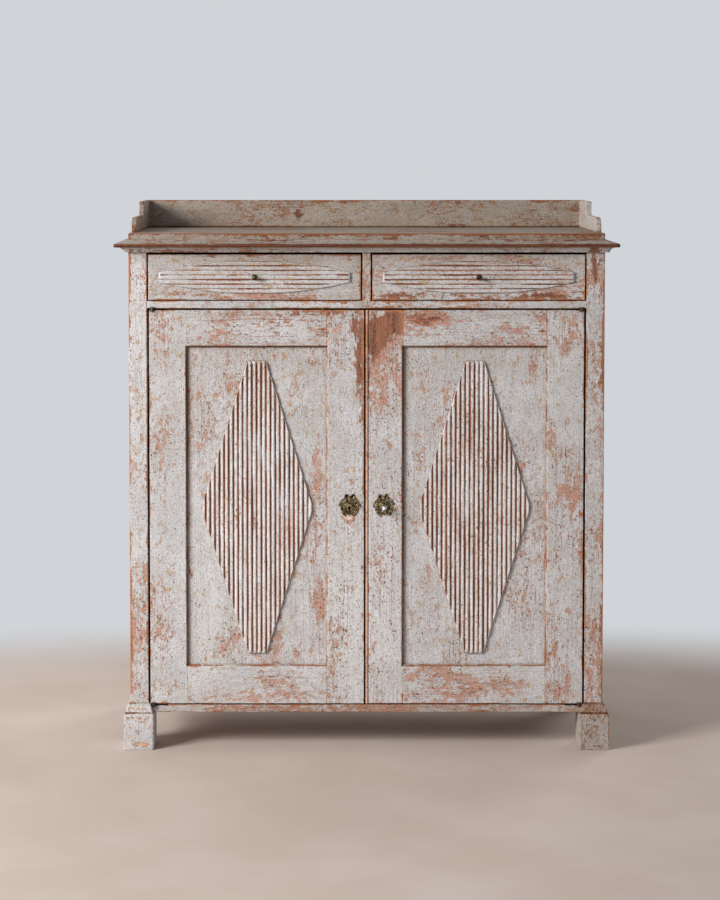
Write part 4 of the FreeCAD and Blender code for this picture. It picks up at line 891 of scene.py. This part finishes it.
def door_frame(door, seed):
    """Stiles and rails of a door, splayed towards the panel."""
    opening = panel_opening(door)
    side = -1 if door == "left_door" else 1
    leaf_x, leaf_y = leaf_marks(side)
    for index, part in enumerate(("hinge_stile", "meeting_stile", "top_rail", "bottom_rail")):
        node = door + "_" + part
        low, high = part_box(node)
        hinged, bead = part == "hinge_stile", node == "right_door_meeting_stile"
        grain, ends = ("z", "") if part.endswith("stile") else ("x", "x")
        if ends:
            low.x, high.x = opening[:2]
        x, y = near(*opening[:2]), [FRONT + 2.5 * MM, FRONT + SPLAY_DEPTH]
        if hinged:
            x, y = x + leaf_x, y + leaf_y
        if bead:
            x = x + [low.x + mark * MM for mark in BEAD_MARKS]

        def shaped(points):
            points = splayed(points, opening)
            if hinged:
                points = let_in(let_in(points, side, high.z, -1), side, low.z, 1)
            return beaded(points, low.x) if bead else points

        wood = board(low, high, grain, seed + index, 1.1, square=ends, joint=ends,
                     marks=(x, y, near(*opening[2:])), relief=shaped, rub=0.006)
        splay_shade_and_wear(wood, opening)
        if bead:
            bead_wear_and_shading(wood, low.x)
        mesh = as_mesh(node, [wood])
        if part == "meeting_stile":
            plate_low, plate_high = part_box(door.replace("door", "escutcheon"))
            mesh = pierced(mesh, keyhole((plate_low.x + plate_high.x) / 2, (low.z + high.z) / 2))
        dress(node + "_painted", mesh, door, [node], PAINT)


def door_panel(door, seed):
    """Panel with a bevelled back, held in the frame."""
    x_low, x_high, z_low, z_high = panel_opening(door)
    low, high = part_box(door + "_panel")
    edge_thick, bevel = 7.0 * MM, 32.0 * MM

    def bevelled(points):
        x, z = points[:, 0], points[:, 2]
        inside = np.minimum(np.minimum(x - x_low, x_high - x), np.minimum(z - z_low, z_high - z))
        thick = edge_thick + (high.y - low.y - edge_thick) * np.clip(inside / bevel, 0, 1)
        points[:, 1] = np.minimum(points[:, 1], low.y + thick)
        return points

    steps = [step * MM for step in (0, 1, 2, 3.5, 5, 7, 10)] + [bevel]
    marks = ([x_low + step for step in steps] + [x_high - step for step in steps], (),
             [z_low + step for step in steps] + [z_high - step for step in steps])
    panel = board(low, high, "z", seed, 0.6, marks=marks, relief=bevelled, joint="xz", rub=0.004, bare=-0.02)
    x, _, z = panel["points"].T / MM
    # Painted shade along the panel's edges where it meets the frame, darkest on the left and top, which the
    # frame shadows.
    darkening = 1.1 * np.exp((x_low / MM - x) / 3.5) + 0.8 * np.exp((z - z_high / MM) / 3)
    darkening += 0.6 * np.exp((x - x_high / MM) / 2.5) + 0.8 * np.exp((z_low / MM - z) / 2)
    panel["grime"] += np.minimum(darkening, 1.1)
    paint_piece(door + "_panel", door, [panel])


# Drawers

def drawer_front(drawer, seed):
    """Drawer front, a little short of the sides' tails at both ends."""
    low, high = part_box(drawer + "_front")
    short = 0.25 * MM
    low.x, high.x = low.x + short, high.x - short
    darkening = 0.22 if drawer == "left_drawer" else 0.1
    paint_piece(drawer + "_front", drawer, [board(low, high, "x", seed, 1.2, rub=0.01, grime=darkening)])


# Reeded lozenges

def new_tree(name, numbers, sizes):
    """Net of an empty tree of geometry nodes with inputs for numbers, sizes and a finish."""
    tree = bpy.data.node_groups.new(name, "GeometryNodeTree")
    sockets = [("Geometry", "Geometry")] + [(label, "Int") for label in numbers]
    sockets += [(label, "Float") for label in sizes] + [("Finish", "Material")]
    for label, kind in sockets:
        tree.interface.new_socket(label, in_out="INPUT", socket_type="NodeSocket" + kind)
    tree.interface.new_socket("Geometry", in_out="OUTPUT", socket_type="NodeSocketGeometry")
    net = Net(tree)
    return net, net.node("NodeGroupInput").outputs


def end_tree(net, shape, finish):
    """Ends a tree in real faces with their finish."""
    real = net.node("GeometryNodeRealizeInstances", {0: shape}).outputs[0]
    done = net.node("GeometryNodeSetMaterial", {"Geometry": real, "Material": finish}).outputs[0]
    net.node("NodeGroupOutput", {0: done})
    return net.tree


def moved(net, shape, key, vector):
    """Shape with its points set to a position or moved by an offset."""
    return net.node("GeometryNodeSetPosition", {"Geometry": shape, key: vector}).outputs[0]


def reed_tree():
    """Geometry nodes for a lozenge of half-round reeds, lying in its own plane."""
    sizes = ("Pitch", "Half Length", "Half End", "Taper", "Base", "Rise", "Unevenness", "Seed")
    net, given = new_tree("reeded_lozenge", ("Reeds", "Cuts"), sizes)
    wide = net.total((given["Reeds"], 14.0), 1.0)
    grid = net.node("GeometryNodeMeshGrid", {
        "Size X": 1.0, "Size Y": 1.0, "Vertices X": wide, "Vertices Y": given["Cuts"]}).outputs[0]
    place = net.parts(net.node("GeometryNodeInputPosition").outputs[0])
    width = net.times(given["Reeds"], given["Pitch"])
    across = net.times(place[0], width)
    half = net.times(width, 0.5)
    spare = net.less(half, net.math("ABSOLUTE", across))
    slope = net.math("DIVIDE", spare, net.less(half, given["Half End"]), clamp=True)
    reach = net.times(net.math("POWER", slope, given["Taper"]), given["Half Length"])
    along = net.times(net.times(place[1], 2.0), reach)
    flat = moved(net, grid, "Position", net.vector(across, along))

    raised = net.node("GeometryNodeExtrudeMesh", {"Mesh": flat, "Offset Scale": 0.0, "Individual": False})
    here = net.node("GeometryNodeInputPosition").outputs[0]
    count = net.total(net.math("DIVIDE", net.parts(here)[0], given["Pitch"]), (given["Reeds"], 0.5))
    swing = net.less(net.times(net.math("FRACT", count), 2.0), 1.0)
    crown = net.math("SQRT", net.less(1.0, net.times(swing, swing), clamp=True))
    wander = net.node("ShaderNodeTexNoise", {
        "Vector": net.scaled(here, (1, 0.12, 1)), "W": given["Seed"], "Scale": 70.0, "Detail": 3.0,
    }, noise_dimensions="4D").outputs[0]
    uneven = net.times(net.less(wander, 0.5), given["Unevenness"])
    height = net.total(given["Base"], (crown, net.total(given["Rise"], uneven)))
    lift = net.vector(z=height)
    top = net.node("GeometryNodeSetPosition", {
        "Geometry": raised.outputs["Mesh"], "Selection": raised.outputs["Top"], "Offset": lift})
    both = net.node("GeometryNodeJoinGeometry", {0: top.outputs[0]})
    net.feed(both.inputs[0], net.node("GeometryNodeFlipFaces", {"Mesh": flat}).outputs[0])
    whole = net.node("GeometryNodeMergeByDistance", {"Geometry": both.outputs[0], "Distance": 0.01 * MM})
    return end_tree(net, whole.outputs[0], given["Finish"])


def grown(tree, values):
    """Plain mesh that a tree of geometry nodes makes from named values."""
    holder = bpy.data.objects.new("grown", bpy.data.meshes.new("grown"))
    bpy.context.scene.collection.objects.link(holder)
    modifier = holder.modifiers.new("grow", "NODES")
    modifier.node_group = tree
    for item in tree.interface.items_tree:
        if item.in_out == "INPUT" and item.name in values:
            modifier[item.identifier] = values[item.name]
    evaluated = holder.evaluated_get(bpy.context.evaluated_depsgraph_get())
    mesh = bpy.data.meshes.new_from_object(evaluated)
    holder.modifiers.remove(modifier)
    bpy.data.objects.remove(holder)
    return mesh


def skirted(mesh, values):
    """Draws a lozenge's foot out a little; gives its old points, and which are at its outline and foot."""
    skirt, close = 1.3 * MM, 0.05 * MM
    flat = places_of(mesh)
    across, along, out = np.abs(flat).T
    half = values["Reeds"] * values["Pitch"] / 2
    slope = np.clip((half - across) / (half - values["Half End"]), 0, 1)
    rim = along > values["Half Length"] * slope ** values["Taper"] - close
    foot = rim & (out < close)
    end = across < values["Half End"] + close
    drawn = flat.copy()
    drawn[:, 0] += np.where(foot & ~end, skirt, 0) * np.sign(flat[:, 0])
    drawn[:, 1] += np.where(foot, np.where(end, skirt, skirt / 2), 0) * np.sign(flat[:, 1])
    mesh.vertices.foreach_set("co", drawn.ravel())
    return flat, rim, foot


def reed_wear_and_shading(part, crest, patchy, upright):
    """White crests of the reeds, lifted by a painted highlight, and patchy brown valleys, darkened with
    painted shade down their flanks.
    """
    wear, start, crest_highlight = (0.24, 0.38, 0.45) if upright else (0.18, 0.5, -0.12)
    flank = np.sqrt(np.clip(1 - crest ** 2, 0, 1))
    valley = np.clip((flank - start) / 0.4, 0, 1)
    part["bare"] += (wear + 0.3 * np.maximum(patchy, -0.2)) * valley - 0.05
    part["rub"] += 0.14 * np.clip((flank - start + 0.12) / 0.4, 0, 1) - 0.05
    # Painted shade down each flank into the valley, and a painted highlight on each crest of the door reeds;
    # the drawer reeds' crests are darkened a little instead.
    part["grime"] += 0.5 * np.clip((flank - 0.7) / 0.3, 0, 1) - crest_highlight * np.clip((crest - 0.75) / 0.25, 0, 1)
    part["grime"] += 0.5 * np.clip(patchy, 0, 1) * valley


def reeded_lozenge(node, body, tree, values, turn, seed):
    """Reeds of one lozenge and a skirt of old paint round them."""
    low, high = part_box(node)
    mesh = grown(tree, values | {"Seed": float(seed), "Finish": PAINT})
    flat, rim, foot = skirted(mesh, values)
    centre = Vector(((low.x + high.x) / 2, high.y, (low.z + high.z) / 2))
    mesh.transform(Matrix.Translation(centre) @ turn)
    points, quads = places_of(mesh), [list(face.vertices) for face in mesh.polygons]
    upright = turn is UPRIGHT
    part = finished(points, quads, "z" if upright else "x", seed)
    crest = np.clip((high.y - points[:, 1] - values["Base"]) / values["Rise"], 0, 1)
    reed_wear_and_shading(part, crest, ripple(flat * (1, 0.1, 0), 95, seed + 7), upright)
    # Round the outline: painted shade in the crease at the foot, and paler paint on the rim above it.
    for key, at_foot, above in (("bare", 0.05, -0.08), ("rub", 0.02, 0.02), ("grime", 1.0, -0.1)):
        part[key] = np.where(rim, np.where(foot, at_foot, above), part[key])
    dress(node + "_reeds", as_mesh(node, [part]), body, [node], PAINT)


def lozenges():
    """Reeded lozenges on both doors and both drawers."""
    tree = reed_tree()
    common = {"Cuts": 90, "Base": 2.0 * MM}
    bold = common | {"Reeds": 24, "Taper": 1.0, "Rise": 3.6 * MM, "Unevenness": 1.6 * MM}
    shallow = common | {"Reeds": 7, "Taper": 0.5, "Rise": 2.4 * MM, "Unevenness": 1.8 * MM}
    for seed, side in enumerate(SIDES):
        low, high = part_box(side + "_door_lozenge")
        pitch = (high.x - low.x) / bold["Reeds"]
        sizes = {"Pitch": pitch, "Half Length": (high.z - low.z) / 2, "Half End": 2 * pitch}
        reeded_lozenge(side + "_door_lozenge", side + "_door", tree, bold | sizes, UPRIGHT, 61 + seed)
        low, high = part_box(side + "_drawer_lozenge")
        pitch = (high.z - low.z) / shallow["Reeds"]
        sizes = {"Pitch": pitch, "Half Length": (high.x - low.x) / 2, "Half End": pitch}
        reeded_lozenge(side + "_drawer_lozenge", side + "_drawer", tree, shallow | sizes, LYING, 63 + seed)


# Metal fittings

def turned(profile, place, wide=MM, high=MM, count=48):
    """Round or oval piece that stands out from the front: shares of its radius and distances out."""
    angles = np.linspace(0, 2 * math.pi, count, endpoint=False)
    x, y, z = place
    rings = [[(x + r * wide * math.cos(a), y - out * MM, z + r * high * math.sin(a)) for a in angles]
             for r, out in profile]
    return loft(np.array(rings), "z", 1)


def bow_loop(place, tilt, side):
    """One loop of the ribbon bow, a flattened ring."""
    wide, high, wire = 5.4 * MM, 4.0 * MM, 1.25 * MM
    steps, sides = 36, 10
    cos, sin = math.cos(tilt), math.sin(tilt)
    points, quads = [], []
    for i, a in enumerate(np.linspace(0, 2 * math.pi, steps, endpoint=False)):
        heading = math.atan2(math.sin(a) * wide, math.cos(a) * high)
        for j, b in enumerate(np.linspace(0, 2 * math.pi, sides, endpoint=False)):
            reach = wire * math.cos(b)
            u = wide * math.cos(a) + reach * math.cos(heading)
            v = high * math.sin(a) + reach * math.sin(heading)
            out = 1.4 * MM + wire * math.sin(b) + 0.5 * MM * math.cos(a - side)
            points.append((place[0] + u * cos - v * sin, place[1] - out, place[2] + u * sin + v * cos))
            here, onward, m = i * sides, (i + 1) % steps * sides, (j + 1) % sides
            quads.append([here + j, here + m, onward + m, onward + j])
    return finished(np.array(points), quads, "z", 1)


def swag_tree():
    """Geometry nodes for a row of veined leaves along part of an oval, lying in its own plane."""
    sizes = ("Half Width", "Half Height", "First Angle", "Last Angle", "Leaf Width", "Leaf Height",
             "Thickness", "Side", "Turn")
    net, given = new_tree("leafy_swag", ("Leaves",), sizes)
    ball = net.node("GeometryNodeMeshUVSphere", {"Segments": 16, "Rings": 10, "Radius": 1.0}).outputs[0]
    spot = net.parts(net.node("GeometryNodeInputPosition").outputs[0])
    vein = net.less(1.0, net.times(net.math("ABSOLUTE", spot[0]), 3.5), clamp=True)
    leaf = moved(net, ball, "Offset", net.vector(z=net.times(net.times(vein, spot[2]), -0.35)))

    row = net.node("GeometryNodeMeshLine", {"Count": given["Leaves"]}, mode="OFFSET").outputs[0]
    index = net.node("GeometryNodeInputIndex").outputs[0]
    share = net.math("DIVIDE", index, net.less(given["Leaves"], 1.0))
    angle = net.total(given["First Angle"], (net.less(given["Last Angle"], given["First Angle"]), share))
    across = net.times(net.times(given["Half Width"], net.math("COSINE", angle)), given["Side"])
    up = net.times(given["Half Height"], net.math("SINE", angle))
    lean = net.times(net.times(angle, given["Turn"]), given["Side"])
    size = net.vector(net.times(given["Leaf Width"], 0.5), net.times(given["Leaf Height"], 0.5),
                      given["Thickness"])
    leaves = net.node("GeometryNodeInstanceOnPoints", {
        "Points": moved(net, row, "Position", net.vector(across, up)), "Instance": leaf,
        "Rotation": net.vector(z=lean), "Scale": size}).outputs[0]
    return end_tree(net, leaves, given["Finish"])


def keyhole(x, z):
    """Cutter for a keyhole: a round hole over a slot."""
    radius, half, drop = 4.0 * MM, 2.2 * MM, 13.0 * MM
    ends = (FRONT - 15 * MM, FRONT + 14 * MM)
    first = math.asin(half / radius) - math.pi / 2
    angles = np.linspace(first, math.pi - first, 25)
    outline = [(radius * math.cos(a), radius * math.sin(a)) for a in angles]
    outline = [(half, -drop)] + outline + [(-half, -drop)]
    rings = [[(x + u, y, z + v) for u, v in outline] for y in ends]
    return as_mesh("keyhole", [loft(np.array(rings), "z", 1)])


def pierced(mesh, cutter):
    """Mesh with a cutter taken out of it."""
    scene = bpy.context.scene.collection.objects
    whole, tool = bpy.data.objects.new("whole", mesh), bpy.data.objects.new("tool", cutter)
    scene.link(whole)
    scene.link(tool)
    modifier = whole.modifiers.new("hole", "BOOLEAN")
    modifier.operation, modifier.solver, modifier.object = "DIFFERENCE", "EXACT", tool
    result = bpy.data.meshes.new_from_object(whole.evaluated_get(bpy.context.evaluated_depsgraph_get()))
    bpy.data.objects.remove(whole)
    bpy.data.objects.remove(tool)
    return result


def joined(name, meshes):
    """One mesh from several."""
    shape = bmesh.new()
    for mesh in meshes:
        shape.from_mesh(mesh)
    whole = bpy.data.meshes.new(name)
    shape.to_mesh(whole)
    shape.free()
    return whole


def tarnish(mesh):
    """Old dirt in a fitting's hollows, deepest next to the door."""
    out = (FRONT - places_of(mesh)[:, 1]) / MM
    darkening = mesh.attributes.get("grime") or mesh.attributes.new("grime", "FLOAT", "POINT")
    darkening.data.foreach_set("value", 0.9 * np.clip((2.0 - out) / 1.1, 0, 1))


# Outlines of the escutcheons: share of the radius, and distance out in millimetres
RIM = ((1.0, 0.0), (1.0, 1.4), (0.985, 2.2), (0.95, 2.9), (0.91, 3.0), (0.875, 2.6), (0.855, 1.6),
       (0.82, 1.0))
RING = ((0.79, 1.1), (0.77, 2.0), (0.735, 2.5), (0.695, 2.6), (0.66, 2.2), (0.64, 1.4), (0.60, 0.9))
BOSS = ((0.565, 1.0), (0.55, 1.7), (0.52, 2.1), (0.48, 2.2), (0.3, 2.5), (0.12, 2.6))
KNOT = ((1.0, 0.0), (0.98, 0.9), (0.85, 1.9), (0.6, 2.6), (0.3, 2.9), (0.08, 3.0))
WEB = ((1.0, 0.0), (1.0, 0.5), (0.6, 0.8), (0.1, 0.8))


def ribbon_bow(x, z):
    """Knot of the bow over a medal, with a loop and its web at each side."""
    bow = [turned(KNOT, (x, FRONT, z + 21 * MM), 4 * MM, 5 * MM)]
    for way in (-1.0, 1.0):
        loop = (x + way * 6.8 * MM, FRONT, z + 27.5 * MM)
        bow.append(bow_loop(loop, way * math.radians(52), way))
        bow.append(turned(WEB, loop, 4.2 * MM, 4.2 * MM, 24))
    return as_mesh("bow", bow)


def leaf_row(count, oval, leaf, angles, turn):
    """Values for a row of leaves: half sizes of its oval and sizes of a leaf in millimetres, and degrees."""
    return {
        "Leaves": count, "Half Width": oval[0] * MM, "Half Height": oval[1] * MM, "Turn": turn,
        "Leaf Width": leaf[0] * MM, "Leaf Height": leaf[1] * MM, "Thickness": 2.2 * MM, "Finish": BRASS,
        "First Angle": math.radians(angles[0]), "Last Angle": math.radians(angles[1]),
    }


def escutcheon(side, tree, x, z, tilt):
    """Oval medal with rings and a boss, a ribbon bow above it and a leafy swag down each side."""
    medal = as_mesh("medal", [turned(RIM + RING + BOSS, (x, FRONT, z), 16 * MM, 17.5 * MM, 72)])
    meshes = [pierced(medal, keyhole(x, z))]
    swag = leaf_row(6, (19.2, 20.6), (5.6, 11.5), (62, -52), 1.0)
    ribbon = leaf_row(3, (25.0, 26.0), (4.4, 9.5), (58, 18), 0.9)
    for way in (-1.0, 1.0):
        for leaves in (swag, ribbon):
            mesh = grown(tree, leaves | {"Side": way})
            mesh.transform(Matrix.Translation((x, FRONT - 0.4 * MM, z)) @ UPRIGHT)
            meshes.append(mesh)
    whole = joined(side + "_escutcheon", meshes + [ribbon_bow(x, z)])
    tarnish(whole)
    place = Matrix.Translation((x, FRONT, z))
    whole.transform(place @ Matrix.Rotation(math.radians(-tilt), 4, "Y") @ place.inverted())
    dress(side + "_escutcheon_medal", whole, side + "_door", [side + "_escutcheon"], BRASS)


def drawer_knob(drawer):
    """Small turned knob on a moulded rose."""
    low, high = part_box(drawer + "_knob")
    place = ((low.x + high.x) / 2, FRONT, (low.z + high.z) / 2)
    seat, radius = (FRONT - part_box(drawer + "_lozenge")[0].y) / MM, 5.5
    ball = (FRONT - low.y) / MM - radius
    rose = [(6.4, 0.6), (6.5, 1.0), (6.2, 1.5), (5.4, 1.6), (4.6, 1.3), (3.6, 1.8), (2.9, 3.0), (2.8, 4.2),
            (3.3, 5.2)]
    profile = [(1.2, -6.0), (6.4, -6.0)] + [(wide, seat + out) for wide, out in rose]
    angles = np.linspace(0.7, math.pi - 0.1, 14)
    profile += [(radius * math.sin(a), ball - radius * math.cos(a)) for a in angles]
    knob = turned(profile, place)
    knob["grime"] += 0.4
    mesh = as_mesh(drawer + "_knob", [knob])
    dress(drawer + "_knob_turned", mesh, drawer, [drawer + "_knob"], BRASS)


def door_key():
    """Key with softened arrises."""
    mesh = frame["nodes"]["key"].data.copy()
    shape = bmesh.new()
    shape.from_mesh(mesh)
    bmesh.ops.remove_doubles(shape, verts=shape.verts, dist=0.002 * MM)
    bmesh.ops.dissolve_limit(shape, angle_limit=math.radians(1), verts=shape.verts, edges=shape.edges)
    sharp = [edge for edge in shape.edges if edge.is_manifold and edge.calc_face_angle() > math.radians(35)]
    bmesh.ops.bevel(shape, geom=sharp, offset=0.5 * MM, segments=3, affect="EDGES", clamp_overlap=True)
    shape.to_mesh(mesh)
    shape.free()
    dress("key_softened", mesh, "key", ["key"], STEEL)


def fittings():
    """Escutcheons, knobs and key."""
    tree = swag_tree()
    low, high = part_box("left_door_hinge_stile")
    level = (low.z + high.z) / 2
    escutcheon("left", tree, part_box("left_door_meeting_stile")[1].x - 34.5 * MM, level, 0)
    escutcheon("right", tree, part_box("right_door_meeting_stile")[0].x + 44 * MM, level, 6)
    for side in SIDES:
        drawer_knob(side + "_drawer")
    door_key()


# Set

def light(name, place, aim, size, power):
    """Large soft lamp."""
    lamp = bpy.data.lights.new(name, "AREA")
    lamp.shape, lamp.size, lamp.energy = "SQUARE", size, power
    holder = bpy.data.objects.new(name, lamp)
    holder.location = place
    holder.rotation_euler = (Vector(aim) - Vector(place)).to_track_quat("-Z", "Y").to_euler()
    bpy.context.scene.collection.objects.link(holder)


def floor():
    """Plain pale floor that fades out round the piece."""
    mesh = bpy.data.meshes.new("floor")
    reach = 6.0
    corners = [(-reach, -reach, 0), (reach, -reach, 0), (reach, reach, 0), (-reach, reach, 0)]
    mesh.from_pydata(corners, [], [(0, 1, 2, 3)])
    material, net = new_material("pale_floor")
    place = net.place()
    x, y, _ = net.parts(place)
    depth = net.total((net.math("MAXIMUM", y, 0.0), 1.7), (net.math("MINIMUM", y, 0.0), 0.6))
    flat = net.vector(net.times(x, 0.8), depth)
    away = net.node("ShaderNodeVectorMath", {0: flat}, operation="LENGTH").outputs["Value"]
    colour = net.layers((197, 181, 170), (net.noise(place, 3.0, 4.0), 0.3, 0.7, 1.0, (204, 190, 180)))
    body = net.node("ShaderNodeBsdfDiffuse", {"Color": colour}).outputs[0]
    gone = net.node("ShaderNodeBsdfTransparent").outputs[0]
    shown = net.node("ShaderNodeMixShader", {0: net.ramp(away, 1.1, 2.3), 1: body, 2: gone}).outputs[0]
    net.node("ShaderNodeOutputMaterial", {"Surface": shown})
    mesh.materials.append(material)
    piece = bpy.data.objects.new("floor", mesh)
    bpy.context.scene.collection.objects.link(piece)


def surroundings():
    """Pale backdrop for the camera and soft light all round."""
    world = bpy.data.worlds.new("studio")
    bpy.context.scene.world = world
    world.use_nodes = True
    net = Net(world.node_tree)
    path = net.node("ShaderNodeLightPath").outputs
    bent = net.math("MAXIMUM", path["Is Glossy Ray"], path["Is Transmission Ray"])
    seen = net.math("MAXIMUM", path["Is Camera Ray"], bent)
    colour = net.blend(seen, tint(236, 238, 242), tint(208, 212, 216))
    strength = net.ramp(seen, 0.0, 1.0, 0.34, 1.0)
    back = net.node("ShaderNodeBackground", {"Color": colour, "Strength": strength}).outputs[0]
    net.node("ShaderNodeOutputWorld", {"Surface": back})


def camera():
    """Camera at the photograph's height and distance, with most of its drop as shift."""
    data = bpy.data.cameras.new("camera")
    data.lens, data.sensor_width = 91.1, 36.0
    data.shift_x, data.shift_y = 0.0244, -0.1893
    holder = bpy.data.objects.new("camera", data)
    holder.location = (-0.068, -5.609, 1.426)
    holder.rotation_euler = (math.radians(90 - 3.16), 0, 0)
    bpy.context.scene.collection.objects.link(holder)
    bpy.context.scene.camera = holder


def carried_over():
    """Finishes of the CAD nodes that stay as they are."""
    across = ["rear_top_rail", "top_rail", "shelves", "door_stops"]
    deep = ["drawer_runners", "shelf_cleats"]
    iron = ["back_nails", "fixed_pivots", "lock_case", "lock_bolt", "bolt_plate", "door_bolt"]
    for side in SIDES:
        across += [side + "_drawer_back", side + "_drawer_bottom"]
        deep.append(side + "_drawer_sides")
        iron.append(side + "_door_pivots")
    for nodes, material in ((across, PINE["x"]), (deep, PINE["y"]), (iron, IRON)):
        for node in nodes:
            mesh = frame["nodes"][node].data
            mesh.materials.clear()
            mesh.materials.append(material)


carcass_posts()
back_boards()
carcass_rails()
cornice()
for number, side in enumerate(SIDES):
    gallery_end(side, 51 + number)
gallery_back()
for number, side in enumerate(SIDES):
    front_foot(side, 56 + number)
for number, side in enumerate(SIDES):
    door_frame(side + "_door", 101 + 10 * number)
    door_panel(side + "_door", 131 + number)
for number, side in enumerate(SIDES):
    drawer_front(side + "_drawer", 141 + number)
lozenges()
fittings()
carried_over()
floor()
surroundings()
light("window", (-4.0, -3.0, 2.6), (0, -0.2, 0.7), 1.9, 307)
light("fill", (3.6, 4.4, 1.9), (0, 0.2, 0.7), 2.6, 150)
light("far_fill", (-3.6, 4.6, 1.9), (0, 0.2, 0.7), 2.6, 60)
camera()

bpy.context.scene.view_settings.view_transform = "Standard"
